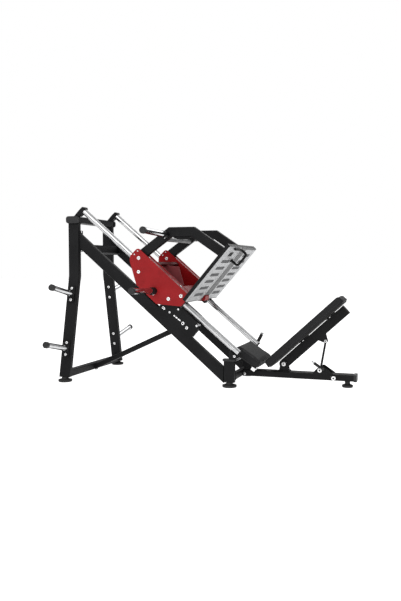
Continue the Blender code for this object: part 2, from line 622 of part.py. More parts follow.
def loop_handle():
    """A bent bar: along the top of the foot plate, out towards the seat, down and back to the plate."""
    face = FOOT_PLATE_ALONG + FOOT_PLATE_THICK + HANDLE_BAR_RADIUS + GAP
    reach, top, bottom, y = 1.288, 0.606, 0.484, -0.095
    corners = [rail(face, top, -0.285), rail(face, top, y), rail(reach, top, y), rail(reach, bottom, y)]
    corners.append(rail(FOOT_PLATE_ALONG + FOOT_PLATE_THICK + GAP, bottom, y))
    points, bend = [corners[0]], 0.022
    for before, corner, after in zip(corners, corners[1:], corners[2:]):
        first = corner + (before - corner).normalized() * bend
        last = corner + (after - corner).normalized() * bend
        for step in range(5):
            t = step / 4
            points.append(first * (1 - t) ** 2 + corner * 2 * t * (1 - t) + last * t * t)
    points.append(corners[-1])
    curve = bpy.data.curves.new("loop_handle", "CURVE")
    curve.dimensions = "3D"
    curve.bevel_depth = HANDLE_BAR_RADIUS
    curve.bevel_resolution = 2
    curve.use_fill_caps = True
    curve.materials.append(BLACK_STEEL)
    line = curve.splines.new("POLY")
    line.points.add(len(points) - 1)
    origin = rail(0, 0)
    for spot, point in zip(line.points, points):
        spot.co = (*(point - origin), 1)
    obj = bpy.data.objects.new("loop_handle", curve)
    obj.location = origin
    obj.parent = MACHINE
    bpy.context.scene.collection.objects.link(obj)


# ---------------------------------------------------------------- safety stops
def stop_bracket():
    """A cheek on each side of the slanted beam and a web behind them: the box that the catch turns in."""
    outer = [
        (1.041, -0.178), (1.041, -0.140), (1.120, -0.053), (1.200, -0.053), (1.206, -0.040),
        (1.378, -0.042), (1.418, -0.073), (1.423, -0.178),
    ]
    floor = BEAM_OFFSET + TUBE_WIDE / 2 + GAP
    inner = [
        (1.300, floor), (1.300, -0.060), (1.316, -0.042), (1.378, -0.042), (1.418, -0.073), (1.418, floor),
    ]
    web = rectangle((1.404, floor + 0.002), (1.416, -0.080))
    pivot = rail(*CATCH_PIVOT, STOP_SIDE * STOP_PLATE_Y)
    plate_y = ordered(STOP_SIDE, STOP_PLATE_Y, STOP_PLATE_Y + PLATE_THICK)
    obj = place("stop_bracket", rail_plate(outer, *plate_y), BLACK_STEEL, pivot)
    cheek_y = ordered(STOP_SIDE, BEAM_Y - TUBE_THIN / 2 + GAP, BEAM_Y - TUBE_THIN / 2 + PLATE_THICK)
    web_y = ordered(STOP_SIDE, BEAM_Y - TUBE_THIN / 2 + 0.001, STOP_PLATE_Y + 0.002)
    join(obj, rail_plate(web, *web_y), rail_plate(inner, *cheek_y))
    hole_y = ordered(STOP_SIDE, BEAM_Y - 0.050, BEAM_Y - 0.010)
    hole = rod(rail(*CATCH_PIVOT, hole_y[0]), rail(*CATCH_PIVOT, hole_y[1]), CATCH_PIN_RADIUS + PIN_CLEARANCE)
    cut(obj, hole)


def rail_coordinates(point):
    offset = point - at(ROD_TOP)
    return Vector((offset.dot(RAIL_DOWN), offset.dot(RAIL_UP)))


def crank_pin(pivot, turn):
    """Where a crank meets the link at rest: half its turn before square, so that the link moves straight."""
    drop = pivot[1] - LINK_LEVEL
    return Vector((pivot[0] - drop * math.tan(turn / 2), LINK_LEVEL))


def strap(first, last, width):
    """The outline of a flat bar with round ends about two points."""
    run = last - first
    heading = math.atan2(run.y, run.x)
    quarter = math.pi / 2
    outline = arc(first, width / 2, heading + quarter, heading + 3 * quarter, 6)
    return outline + arc(last, width / 2, heading - quarter, heading + quarter, 6)


def crank(pivot, turn):
    outline = strap(Vector(pivot), crank_pin(pivot, turn), CRANK_WIDTH)
    return rail_plate(outline, *ordered(STOP_SIDE, *CRANK_Y))


def safety_catch():
    tip = HOUSINGS["lower"][1] + 0.0015
    arm = [
        (tip, -0.098), (tip, -0.068), (1.372, -0.051), (1.394, -0.051),
        (1.400, -0.057), (1.400, -0.072), (1.384, -0.086),
    ]
    pivot = rail(*CATCH_PIVOT, STOP_SIDE * BEAM_Y)
    obj = place("safety_catch", rail_plate(arm, *ordered(STOP_SIDE, *CATCH_Y)), ZINC, pivot)
    pin_y = ordered(STOP_SIDE, CRANK_Y[0], STOP_PLATE_Y - GAP)
    pin = rod(rail(*CATCH_PIVOT, pin_y[0]), rail(*CATCH_PIVOT, pin_y[1]), CATCH_PIN_RADIUS)
    join(obj, pin, crank(CATCH_PIVOT, CATCH_TURN))


def release_link():
    """A flat bar inside the slanted beam, from the release shaft's crank to the catch's crank."""
    first = crank_pin(CATCH_PIVOT, CATCH_TURN)
    last = crank_pin(rail_coordinates(at(RELEASE_SHAFT_AT)), HANDLE_TURN)
    outline = strap(first, last, LINK_HEIGHT)
    bar_mesh = rail_plate(outline, *ordered(STOP_SIDE, *LINK_Y))
    place("release_link", bar_mesh, ZINC, rail(*first, STOP_SIDE * LINK_Y[0]))


def safety_handle():
    """The release shaft through both posts, its crank, and the hand lever on its far end with its grip."""
    pivot = at(RELEASE_SHAFT_AT)
    half = POST_Y + POST_SIZE[1] / 2
    shaft_ends = ordered(STOP_SIDE, half, -RELEASE_HANDLE_Y - 0.008)
    start, stop = (at(RELEASE_SHAFT_AT, y) for y in shaft_ends)
    shaft = rod(start, stop, RELEASE_SHAFT_RADIUS)
    obj = place("safety_handle", shaft, ZINC, pivot)
    y = -STOP_SIDE * RELEASE_HANDLE_Y
    knee, tip = at(RELEASE_HANDLE_KNEE, y), at(RELEASE_HANDLE_TIP, y)
    lever = bar([at(RELEASE_SHAFT_AT, y), knee, tip], 0.012, 0.018, Y_AXIS, 0.005)
    join(obj, crank(rail_coordinates(pivot), HANDLE_TURN), lever)
    grip_axis = (tip - knee).normalized()
    hollow = bar([knee + 0.013 * grip_axis, tip + 0.004 * grip_axis], 0.0126, 0.0186, Y_AXIS, 0.005)
    outline = [(0.014, 0.0125), (0.018, 0.0145), (0.086, 0.0145), (0.090, 0.0125)]
    cut(place("safety_handle_grip", turned(knee, grip_axis, outline, 16), RUBBER, pivot), hollow)


# ---------------------------------------------------------------- seat
def seat():
    origin = at(SEAT_FRONT)
    pad = rounded(rectangle((0, -SEAT_HALF), (SEAT_LENGTH, SEAT_HALF)), 0.040, 4)
    place("seat_pad", slab(pad, origin, SEAT_BACK, Y_AXIS, SEAT_UP, -SEAT_THICK, 0), VINYL, origin)
    top = -SEAT_THICK - GAP
    under = top - SEAT_BASE_THICK
    board = rounded(rectangle((0.010, -0.170), (SEAT_LENGTH - 0.008, 0.170)), 0.030, 2)
    base = slab(board, origin, SEAT_BACK, Y_AXIS, SEAT_UP, under, top)
    obj = place("seat_support", base, BLACK_STEEL)
    front = origin + 0.016 * SEAT_BACK + (under + 0.002) * SEAT_UP
    rear = origin + 0.150 * SEAT_BACK + (under + 0.002) * SEAT_UP
    floor = BASE_Z[1] + GAP
    web = [
        (front.x, front.z), (front.x + 0.006, front.z - 0.040), (POST_X + 0.055, floor),
        (rear.x - 0.012, floor), (rear.x, rear.z),
    ]
    webs = [plate(web, *ordered(side, 0.036, 0.044)) for side, _ in SIDES]
    join(obj, *webs)


# ---------------------------------------------------------------- backrest
def backrest_pivot():
    x, z = BACK_PIVOT
    floor = BASE_Z[1] + GAP
    foot = box((x - 0.048, -0.046, floor), (x + 0.048, 0.046, floor + 0.007))
    obj = place("backrest_pivot_bracket", foot, BLACK_STEEL)
    crown = arc((x, z), 0.032, math.pi * 1.05, -math.pi * 0.05, 8)
    cheek = [(x - 0.040, floor + 0.001), *crown, (x + 0.040, floor + 0.001)]
    join(obj, *[plate(cheek, *ordered(side, 0.0256, 0.0336)) for side, _ in SIDES])
    cut(obj, rod(at(BACK_PIVOT, -0.06), at(BACK_PIVOT, 0.06), PIN_RADIUS + PIN_CLEARANCE))
    pin = rod(at(BACK_PIVOT, -0.041), at(BACK_PIVOT, 0.041), PIN_RADIUS)
    place("backrest_pivot_pin", pin, CHROME, at(BACK_PIVOT))


def back_tube():
    reach = BACK_TUBE_DEPTH / 2
    nose = arc((0, 0), reach, math.pi / 2, math.pi * 3 / 2, 8)
    outline = nose + [(BACK_TUBE_LENGTH, -reach), (BACK_TUBE_LENGTH, reach)]
    half = TUBE_THIN / 2
    obj = place("back_tube", back_plate(outline, -half, half), BLACK_STEEL, at(BACK_PIVOT))
    top = at(STRUT_TOP) - at(BACK_PIVOT)
    s, n = top.dot(BACK_ALONG), top.dot(BACK_OUT)
    ear_end = arc((s, n), 0.016, math.pi * 1.15, math.pi * 1.85, 5)
    ear = [(s - 0.040, -reach + 0.001), *ear_end, (s + 0.040, -reach + 0.001)]
    ears = [back_plate(ear, *ordered(side, 0.0125, 0.0195)) for side, _ in SIDES]
    pin = rod(at(STRUT_TOP, -0.024), at(STRUT_TOP, 0.024), STRUT_PIN_RADIUS)
    mounts = []
    for start in (0.232, 0.520):
        outline = rectangle((start, reach - 0.001), (start + 0.060, BACK_PAD_LEVELS[0] - GAP))
        mounts.append(back_plate(outline, -0.110, 0.110))
    join(obj, *ears, pin, *mounts)
    cut(obj, rod(at(BACK_PIVOT, -0.06), at(BACK_PIVOT, 0.06), PIN_RADIUS + PIN_CLEARANCE))


def back_pad():
    corners = rectangle((BACK_PAD_ALONG[0], -BACK_PAD_HALF), (BACK_PAD_ALONG[1], BACK_PAD_HALF))
    outline = rounded(corners, 0.040, 4)
    pad = slab(outline, at(BACK_PIVOT), BACK_ALONG, Y_AXIS, BACK_OUT, *BACK_PAD_LEVELS)
    place("back_pad", pad, VINYL, at(BACK_PIVOT))


def backrest_strut():
    """The rod that props the backrest: pinned under the tube, it slides between the adjuster's cheeks."""
    down = (at(STRUT_THROAT) - at(STRUT_TOP)).normalized()
    eye = turned(at(STRUT_TOP, -0.0115), Y_AXIS, [(0, 0.013), (0.023, 0.013)], 16)
    obj = place("backrest_strut", eye, BLACK_STEEL, at(STRUT_TOP))
    join(obj, rod(at(STRUT_TOP) + 0.010 * down, at(STRUT_TOP) + STRUT_LENGTH * down, STRUT_RADIUS))
    cut(obj, rod(at(STRUT_TOP, -0.03), at(STRUT_TOP, 0.03), STRUT_PIN_RADIUS + PIN_CLEARANCE))


def adjuster():
    floor = BASE_Z[1] + GAP
    cheek = rounded(
        [
            (2.026, 0.060), (2.194, 0.056), (2.200, 0.080), (2.176, 0.112),
            (2.092, 0.168), (2.062, 0.158), (2.012, 0.112),
        ],
        0.010, 2,
    )
    face = TUBE_WIDE / 2 + GAP
    spacer = box((2.124, -face - 0.003, floor), (2.140, face + 0.003, floor + 0.014))
    obj = place("adjuster_bracket", spacer, BLACK_STEEL)
    join(obj, *[plate(cheek, *ordered(side, face, face + 0.006)) for side, _ in SIDES])
    y = -(face + 0.006 + GAP)
    boss = turned(at(LEVER_PIVOT, y), -Y_AXIS, [(0, 0.012), (0.017, 0.012)], 16)
    lever = place("adjuster_lever", boss, ZINC, at(LEVER_PIVOT, y))
    start, tip = at(LEVER_PIVOT, y - 0.0115), at(LEVER_TIP, y - 0.0115)
    axis = (tip - start).normalized()
    grip = [(0.038, 0.008), (0.041, 0.0105), (0.082, 0.0105), (0.085, 0.008)]
    join(lever, rod(start, tip, 0.0055), turned(start, axis, grip, 16))


def build():
    rear_uprights()
    top_crossbeam()
    rear_lower_crosstube()
    upper_cross_channel()
    slanted_beams()
    floor_brace()
    rod_top_brackets()
    guide_rods()
    rod_lower_brackets()
    front_posts()
    floor_tubes()
    feet()
    storage_horns()
    side_plates()
    bearing_housings()
    carriage_tubes()
    carriage_cross_tube()
    carriage_cross_plate()
    foot_plate_frame()
    foot_plate()
    loop_handle()
    weight_horns()
    stop_bracket()
    safety_catch()
    release_link()
    safety_handle()
    seat()
    backrest_pivot()
    back_tube()
    back_pad()
    backrest_strut()
    adjuster()


build()
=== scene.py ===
"""Looks of a plate-loaded incline leg press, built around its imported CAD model.

Metres, +Z up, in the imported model's frame: -Y is the near side, and X runs towards the backrest.
Rail coordinates are the distance down the guide rods from their upper ends, and the level square to them.
"""
import json
import math

import bmesh
import bpy
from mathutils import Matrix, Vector, noise
from mathutils.bvhtree import BVHTree


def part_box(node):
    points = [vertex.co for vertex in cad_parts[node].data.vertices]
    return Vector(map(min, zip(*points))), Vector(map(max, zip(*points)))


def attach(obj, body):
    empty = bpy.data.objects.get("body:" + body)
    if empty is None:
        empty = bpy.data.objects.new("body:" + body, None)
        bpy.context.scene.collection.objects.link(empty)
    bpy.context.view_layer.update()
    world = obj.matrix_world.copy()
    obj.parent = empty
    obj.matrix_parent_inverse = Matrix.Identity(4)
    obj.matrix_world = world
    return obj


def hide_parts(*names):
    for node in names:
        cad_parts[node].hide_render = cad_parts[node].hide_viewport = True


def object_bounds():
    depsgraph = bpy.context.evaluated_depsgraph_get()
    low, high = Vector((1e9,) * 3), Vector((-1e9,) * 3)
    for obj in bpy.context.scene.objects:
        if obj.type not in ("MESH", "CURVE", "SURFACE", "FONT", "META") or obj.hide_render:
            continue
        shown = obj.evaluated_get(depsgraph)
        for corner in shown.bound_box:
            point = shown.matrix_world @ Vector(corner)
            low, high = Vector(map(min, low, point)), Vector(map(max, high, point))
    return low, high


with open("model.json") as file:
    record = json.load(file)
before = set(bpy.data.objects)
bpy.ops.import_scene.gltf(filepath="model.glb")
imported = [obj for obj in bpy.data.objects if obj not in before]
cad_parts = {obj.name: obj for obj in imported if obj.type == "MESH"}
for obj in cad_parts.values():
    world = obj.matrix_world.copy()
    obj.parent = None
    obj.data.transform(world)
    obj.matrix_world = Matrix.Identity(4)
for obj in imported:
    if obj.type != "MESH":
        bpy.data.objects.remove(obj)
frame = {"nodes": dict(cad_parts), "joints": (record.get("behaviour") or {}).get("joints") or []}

NODES = frame["nodes"]
CAD_LOW, CAD_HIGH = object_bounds()
SIDES = ((-1, "near"), (1, "far"))
X_AXIS, Y_AXIS, Z_AXIS = Vector((1, 0, 0)), Vector((0, 1, 0)), Vector((0, 0, 1))

# --- places, from the CAD boxes or in metres
REAR_OVERHANG = 0.058  # from the rearmost point to the rear uprights' centre line
SHIFT = CAD_LOW.x + REAR_OVERHANG  # world X of that centre line
RAIL_ANGLE = math.radians(40.2)
RAIL_DOWN = Vector((math.cos(RAIL_ANGLE), 0, -math.sin(RAIL_ANGLE)))
RAIL_UP = Vector((math.sin(RAIL_ANGLE), 0, math.cos(RAIL_ANGLE)))
ROD_RADIUS = 0.025
ROD_LOW, ROD_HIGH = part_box("guide_rod_near")
ROD_Y = -(ROD_LOW.y + ROD_HIGH.y) / 2
ROD_TOP = Vector((
    ROD_LOW.x + ROD_RADIUS * math.sin(RAIL_ANGLE), 0, ROD_HIGH.z - ROD_RADIUS * math.cos(RAIL_ANGLE)
))
OUTER_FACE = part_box("carriage_side_plate_far")[1].y
INNER_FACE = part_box("carriage_inner_plate_far")[0].y
STOP_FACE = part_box("stop_bracket")[0].y
BRACKET_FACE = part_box("rod_lower_bracket_near")[0].y
BASE_FACE = 0.050  # half the base tube's width
ADJUSTER_BOLT_FACE = 0.0563
PLATE_START, PLATE_THICK = 1.209, 0.008  # the foot plate's rear face along the rails, and its thickness
PLATE_FACE = PLATE_START + PLATE_THICK
BACK_SLOPE = math.radians(42.8)
BACK_ALONG = Vector((math.cos(BACK_SLOPE), 0, math.sin(BACK_SLOPE)))
BACK_OUT = Vector((-math.sin(BACK_SLOPE), 0, math.cos(BACK_SLOPE)))
SEAT_SLOPE = math.radians(-33.0)
SEAT_BACK = Vector((math.cos(SEAT_SLOPE), 0, math.sin(SEAT_SLOPE)))
SEAT_UP = Vector((-math.sin(SEAT_SLOPE), 0, math.cos(SEAT_SLOPE)))
UPRIGHT_BEND_Z, UPRIGHT_TOP_Y, UPRIGHT_SPREAD = 0.890, 0.317, 0.188
BEAM_Y, CARRIAGE_TUBE_Y, POST_Y = 0.300, 0.303, 0.299  # centre lines
TUBE_HALF = 0.0255  # half a tube's thin side, and 0.5 mm for its weld
WEIGHT_HORN_TILT = math.radians(2.1)
WEIGHT_COLLARS = {"upper": 0.080, "lower": 0.062}  # the lengths of the collars round the plate horns
WEIGHT_COLLAR_RADIUS = 0.031
SPLAY = math.atan2(UPRIGHT_SPREAD, UPRIGHT_BEND_Z)


def machine(x, y, z):
    """A place from the rear uprights' centre line, the middle plane and the floor."""
    return Vector((x + SHIFT, y, z))


def rail(along, level, y=0.0):
    """A place in rail coordinates."""
    return ROD_TOP + along * RAIL_DOWN + level * RAIL_UP + Vector((0, y, 0))


def joint_place(name):
    return Vector(next(j for j in frame["joints"] if j["name"] == name)["pos_m"])


def upright_y(z):
    return UPRIGHT_TOP_Y + max(0.0, UPRIGHT_BEND_Z - z) * math.tan(SPLAY)


BACK_PIVOT = joint_place("backrest_recline")
STRUT_PIN = joint_place("strut_swing")
LEVER_PIVOT = joint_place("adjuster_lever_turn")
SEAT_FRONT = machine(1.425, 0, 0.326)  # the middle of the seat's front edge
LEVER_START, LEVER_TIP = machine(2.098, 0, 0.146), machine(2.008, 0, 0.207)
LEVER_AXIS = (LEVER_TIP - LEVER_START).normalized()


# --- materials
class Nodes:
    """A material's node tree, with a Principled shader at its end."""

    def __init__(self, name, roughness, metallic=0.0, specular=0.5):
        self.material = bpy.data.materials.new(name)
        self.material.use_nodes = True
        self.tree = self.material.node_tree
        self.shader = self.tree.nodes["Principled BSDF"]
        self.shader.inputs["Roughness"].default_value = roughness
        self.shader.inputs["Metallic"].default_value = metallic
        self.shader.inputs["Specular IOR Level"].default_value = specular
        self.place = self.add("ShaderNodeTexCoord").outputs["Object"]

    def add(self, kind, **settings):
        node = self.tree.nodes.new(kind)
        for key, value in settings.items():
            setattr(node, key, value)
        return node

    def link(self, source, target):
        self.tree.links.new(source, target)

    def noise(self, scale, detail=3.0, stretch=None):
        node = self.add("ShaderNodeTexNoise")
        node.inputs["Scale"].default_value = scale
        node.inputs["Detail"].default_value = detail
        self.link(self.stretched(stretch), node.inputs["Vector"])
        return node.outputs["Fac"]

    def stretched(self, stretch):
        if stretch is None:
            return self.place
        node = self.add("ShaderNodeMapping")
        node.inputs["Scale"].default_value = stretch
        node.inputs["Rotation"].default_value = (0, RAIL_ANGLE, 0)
        self.link(self.place, node.inputs["Vector"])
        return node.outputs["Vector"]

    def cells(self, scale, feature="F1"):
        node = self.add("ShaderNodeTexVoronoi", feature=feature)
        node.inputs["Scale"].default_value = scale
        self.link(self.place, node.inputs["Vector"])
        return node.outputs["Distance"]

    def remap(self, source, low, high, to_low, to_high):
        node = self.add("ShaderNodeMapRange")
        for name, value in (("From Min", low), ("From Max", high), ("To Min", to_low), ("To Max", to_high)):
            node.inputs[name].default_value = value
        self.link(source, node.inputs["Value"])
        return node.outputs["Result"]

    def blend(self, factor, first, second):
        """Mixes two colours or outputs."""
        node = self.add("ShaderNodeMix", data_type="RGBA")
        for source, slot in ((first, 6), (second, 7)):
            if isinstance(source, tuple):
                node.inputs[slot].default_value = (*source, 1)
            else:
                self.link(source, node.inputs[slot])
        self.link(factor, node.inputs[0])
        return node.outputs[2]

    def edges(self, radius, gain):
        """About 1 on convex and concave edges, and 0 on flat faces."""
        flat = 0.999
        bevel = self.add("ShaderNodeBevel", samples=4)
        bevel.inputs["Radius"].default_value = radius
        true_normal = self.add("ShaderNodeNewGeometry").outputs["Normal"]
        product = self.add("ShaderNodeVectorMath", operation="DOT_PRODUCT")
        self.link(bevel.outputs["Normal"], product.inputs[0])
        self.link(true_normal, product.inputs[1])
        return self.remap(product.outputs["Value"], flat, flat - 1 / gain, 0, 1)

    def upward(self):
        """0 on faces that look sideways or down, and 1 on faces that look up."""
        split = self.add("ShaderNodeSeparateXYZ")
        self.link(self.add("ShaderNodeNewGeometry").outputs["Normal"], split.inputs[0])
        return self.remap(split.outputs["Z"], 0.35, 1.0, 0.0, 1.0)

    def product(self, first, second):
        node = self.add("ShaderNodeMath", operation="MULTIPLY", use_clamp=True)
        for source, slot in ((first, 0), (second, 1)):
            if isinstance(source, float):
                node.inputs[slot].default_value = source
            else:
                self.link(source, node.inputs[slot])
        return node.outputs[0]

    def colour(self, source):
        self.link(source, self.shader.inputs["Base Color"])

    def roughness(self, source):
        self.link(source, self.shader.inputs["Roughness"])

    def bump(self, height, strength, distance, under=None):
        node = self.add("ShaderNodeBump")
        node.inputs["Strength"].default_value = strength
        node.inputs["Distance"].default_value = distance
        self.link(height, node.inputs["Height"])
        if under is not None:
            self.link(under, node.inputs["Normal"])
        self.link(node.outputs["Normal"], self.shader.inputs["Normal"])
        return node.outputs["Normal"]


def powder_coat(name, deep, plain, worn_and_highlit, roughness, specular, wear_and_highlight=0.5):
    """Baked powder paint: a fine orange-peel skin, faint mottling, dust on top, and lighter edges that are
    partly rub wear and partly painted highlight.
    """
    made = Nodes(name, roughness, 0.0, specular)
    mottled = made.blend(made.remap(made.noise(7.0), 0.35, 0.65, 0, 1), deep, plain)
    dust = made.product(made.upward(), made.remap(made.noise(24.0, 4.0), 0.40, 0.75, 0.0, 0.30))
    dusty = made.blend(dust, mottled, tuple(0.8 * c + 0.009 for c in plain))
    # lighter colour on convex and concave edges: part rub wear, part painted highlight of edges catching
    # light
    rubbed_and_highlit = made.product(made.edges(0.0022, 6.0), made.remap(made.noise(38.0), 0.35, 0.65, 0.25, wear_and_highlight))
    made.colour(made.blend(rubbed_and_highlit, dusty, worn_and_highlit))
    made.roughness(made.remap(made.noise(60.0, 5.0), 0.3, 0.7, roughness - 0.06, roughness + 0.08))
    made.bump(made.noise(620.0, 2.0), 0.16, 0.0004)
    return made.material


def polished(name, colour, dull, roughness, stretch=None, metallic=1.0):
    """Plated metal with hairline polishing marks and a few duller patches."""
    made = Nodes(name, roughness, metallic)
    made.colour(made.blend(made.remap(made.noise(16.0), 0.4, 0.7, 0, 1), colour, dull))
    marks = made.noise(90.0, 6.0, stretch or (1.0, 14.0, 14.0))
    made.roughness(made.remap(marks, 0.3, 0.7, roughness * 0.6, roughness * 1.5))
    made.bump(marks, 0.035, 0.0002)
    return made.material


def silver_paint(name, colour, dark, roughness, metallic):
    """Metallic paint: fine bright flakes over grey, with scuffs from shoes."""
    made = Nodes(name, roughness, metallic)
    flakes = made.remap(made.cells(1400.0), 0.1, 0.6, 0.0, 0.28)
    scuffed = made.remap(made.noise(11.0, 6.0, (1.0, 3.0, 1.0)), 0.42, 0.80, 0.0, 0.45)
    glint = tuple(min(1, 1.25 * c) for c in colour)
    made.colour(made.blend(scuffed, made.blend(flakes, colour, glint), dark))
    made.roughness(made.remap(made.noise(45.0, 5.0), 0.3, 0.7, roughness - 0.07, roughness + 0.12))
    made.bump(made.noise(700.0, 2.0), 0.10, 0.0003)
    return made.material


def rubber(name, colour, light, roughness, scale=500.0, strength=0.35):
    """Matt rubber, plastic, board or thread: faint patches over a fine grain."""
    made = Nodes(name, roughness, 0.0, 0.35)
    made.colour(made.blend(made.remap(made.noise(14.0, 4.0), 0.35, 0.70, 0, 1), colour, light))
    made.roughness(made.remap(made.noise(35.0, 4.0), 0.3, 0.7, roughness - 0.08, roughness + 0.10))
    made.bump(made.noise(scale, 3.0), strength, 0.0005)
    return made.material


def vinyl(name, colour, light, roughness):
    """Coated upholstery cloth: pebbled grain in two sizes, creases and a soft sheen."""
    made = Nodes(name, roughness, 0.0, 0.20)
    pebbles = made.remap(made.cells(430.0), 0.0, 0.75, 1.0, 0.0)
    shade = made.remap(made.noise(9.0, 4.0), 0.35, 0.68, 0.0, 1.0)
    base = made.blend(shade, colour, light)
    made.colour(made.blend(made.remap(pebbles, 0.15, 0.55, 0.45, 0.0), base, tuple(0.55 * c for c in colour)))
    made.roughness(made.remap(pebbles, 0.1, 0.8, roughness + 0.14, roughness - 0.05))
    made.shader.inputs["Sheen Weight"].default_value = 0.02
    made.shader.inputs["Sheen Roughness"].default_value = 0.45
    creases = made.bump(made.noise(42.0, 6.0), 0.22, 0.0016)
    made.bump(pebbles, 0.42, 0.0007, creases)
    return made.material


def grip_inlay(name, colour, dark):
    """Moulded rubber with rows of small studs, for the foot plate's inlays."""
    made = Nodes(name, 0.72, 0.0, 0.3)
    studs = made.remap(made.cells(210.0), 0.10, 0.45, 1.0, 0.0)
    made.colour(made.blend(studs, dark, colour))
    made.roughness(made.remap(made.noise(50.0), 0.3, 0.7, 0.62, 0.85))
    made.bump(studs, 0.6, 0.0012)
    return made.material


# the third colour of each coat is its lighter edge colour: part rub wear, part painted highlight
BLACK = powder_coat("black_powder_coat_fine", (0.0050, 0.0050, 0.0054), (0.0075, 0.0075, 0.0081),
                    (0.024, 0.024, 0.025), 0.48, 0.12)
RED = powder_coat("red_powder_coat_fine", (0.205, 0.0065, 0.0080), (0.255, 0.0085, 0.0105),
                  (0.420, 0.020, 0.026), 0.42, 0.16)
# a darker, more saturated and less glossy copy of the red for the inward faces and the tray floor: painted
# shade
RED_PAINTED_SHADE = powder_coat("red_powder_coat_inside_painted_shade", (0.185, 0.0022, 0.0032), (0.235, 0.0032, 0.0046),
                       (0.360, 0.012, 0.015), 0.50, 0.08, 0.4)
# a paler, greyer copy of the red for the tray's gusset and the covers' ribs: painted highlight
RED_PAINTED_HIGHLIGHT = powder_coat("red_powder_coat_spine_painted_highlight", (0.190, 0.034, 0.038), (0.235, 0.045, 0.050),
                        (0.420, 0.080, 0.090), 0.50, 0.30)
# a much darker copy of the red for the tray's bar: painted shade
BAR_RED_PAINTED_SHADE = powder_coat("red_powder_coat_cross_bar_painted_shade", (0.060, 0.0022, 0.0030), (0.080, 0.0032, 0.0042),
                     (0.180, 0.008, 0.010), 0.50, 0.08, 0.3)
CHROME = polished("chrome_polished", (0.58, 0.585, 0.59), (0.45, 0.455, 0.465), 0.10)
ROD_CHROME = polished("chrome_ground_rod", (0.54, 0.54, 0.545), (0.43, 0.435, 0.44), 0.15)
ZINC = polished("zinc_plated", (0.66, 0.66, 0.67), (0.48, 0.48, 0.49), 0.34, (4.0, 4.0, 4.0))
BOLT_ZINC = polished("zinc_bolt_head", (0.97, 0.97, 0.97), (0.88, 0.88, 0.88), 0.42, (3.0, 3.0, 3.0), 0.35)
TUBE_GREY = silver_paint("cross_tube_grey", (0.170, 0.171, 0.174), (0.115, 0.116, 0.119), 0.52, 0.35)
SILVER = silver_paint("silver_metallic_paint", (0.370, 0.374, 0.380), (0.265, 0.269, 0.276), 0.46, 0.45)
SILVER_EDGE = silver_paint("silver_plate_edge", (0.62, 0.625, 0.63), (0.48, 0.485, 0.49), 0.40, 0.45)
CHANNEL_GREY = silver_paint("channel_grey_paint", (0.084, 0.085, 0.087), (0.062, 0.063, 0.065), 0.52, 0.30)
# dark grey: painted shadow on the foot plate's bent top edge, and painted highlight on the black upper
# channel's lip
GREY_PAINTED_SHADOW_AND_HIGHLIGHT = silver_paint("grey_painted_shadow_and_highlight", (0.060, 0.061, 0.063), (0.042, 0.043, 0.044), 0.50, 0.20)
INLAY = grip_inlay("foot_plate_inlay_rubber", (0.120, 0.122, 0.125), (0.085, 0.086, 0.089))
# near-black matt: painted shade inside the bolts' sockets and in the stop plate's slot; also the foot plate's
# socket and the plunger's collars
HOLE_BLACK = rubber("hole_black", (0.004, 0.004, 0.004), (0.007, 0.007, 0.007), 0.8)
RUBBER = rubber("black_rubber_fine", (0.0095, 0.0095, 0.0095), (0.017, 0.017, 0.017), 0.68)
PLASTIC = rubber("black_moulded_plastic", (0.0085, 0.0085, 0.0090), (0.014, 0.014, 0.015), 0.50, 900.0, 0.18)
VINYL = vinyl("charcoal_vinyl_grained", (0.0088, 0.0088, 0.0097), (0.0120, 0.0120, 0.0131), 0.58)
THREAD = rubber("upholstery_thread", (0.050, 0.050, 0.054), (0.070, 0.070, 0.075), 0.6, 1600.0, 0.5)
BOARD = rubber("pad_backing_board", (0.010, 0.010, 0.010), (0.016, 0.015, 0.014), 0.66, 240.0, 0.25)
GASKET = rubber("washer_black_oxide", (0.012, 0.012, 0.013), (0.020, 0.020, 0.021), 0.42, 700.0, 0.1)


# --- the CAD nodes' finishes
def dress(name, *materials, choose=None):
    """Gives a CAD node its materials. choose says which one each face takes, from the face's centre."""
    obj = NODES[name]
    obj.data.materials.clear()
    for made in materials:
        obj.data.materials.append(made)
    for polygon in obj.data.polygons:
        polygon.material_index = choose(Vector(polygon.center)) if choose else 0


def soften(name, width):
    """Rounds a CAD node's sharp edges with modifiers, so that they catch the light."""
    obj = NODES[name]
    weld = obj.modifiers.new("weld", "WELD")
    weld.merge_threshold = 1e-5
    flat = obj.modifiers.new("merge flat faces", "DECIMATE")
    flat.decimate_type = "DISSOLVE"
    flat.angle_limit = math.radians(0.6)
    flat.delimit = {"MATERIAL"}
    edge = obj.modifiers.new("round edges", "BEVEL")
    edge.width = width
    edge.segments = 2
    edge.limit_method = "ANGLE"
    edge.angle_limit = CREASE
    normals = obj.modifiers.new("normals", "WEIGHTED_NORMAL")
    normals.weight = 80


PLAIN_FINISH = {
    BLACK: ["rear_lower_crosstube", "floor_brace", "front_crosstube", "foot_plate_frame", "loop_handle",
            "stop_bracket", "seat_support", "backrest_pivot_bracket", "back_tube", "adjuster_bracket",
            "backrest_strut"]
    + [f"{stem}_{word}" for word in ("near", "far") for stem in (
        "rear_upright", "slanted_beam", "rod_top_bracket", "rod_lower_bracket", "bearing_housing_upper",
        "bearing_housing_lower", "carriage_tube")],
    RUBBER: ["rear_foot_near", "rear_foot_far", "front_foot_near", "front_foot_far", "back_foot",
             "safety_handle_grip"],
    ROD_CHROME: ["guide_rod_near", "guide_rod_far"],
    CHROME: ["backrest_pivot_pin"],
    TUBE_GREY: ["carriage_cross_tube"],
    ZINC: ["safety_catch", "release_link"],
}


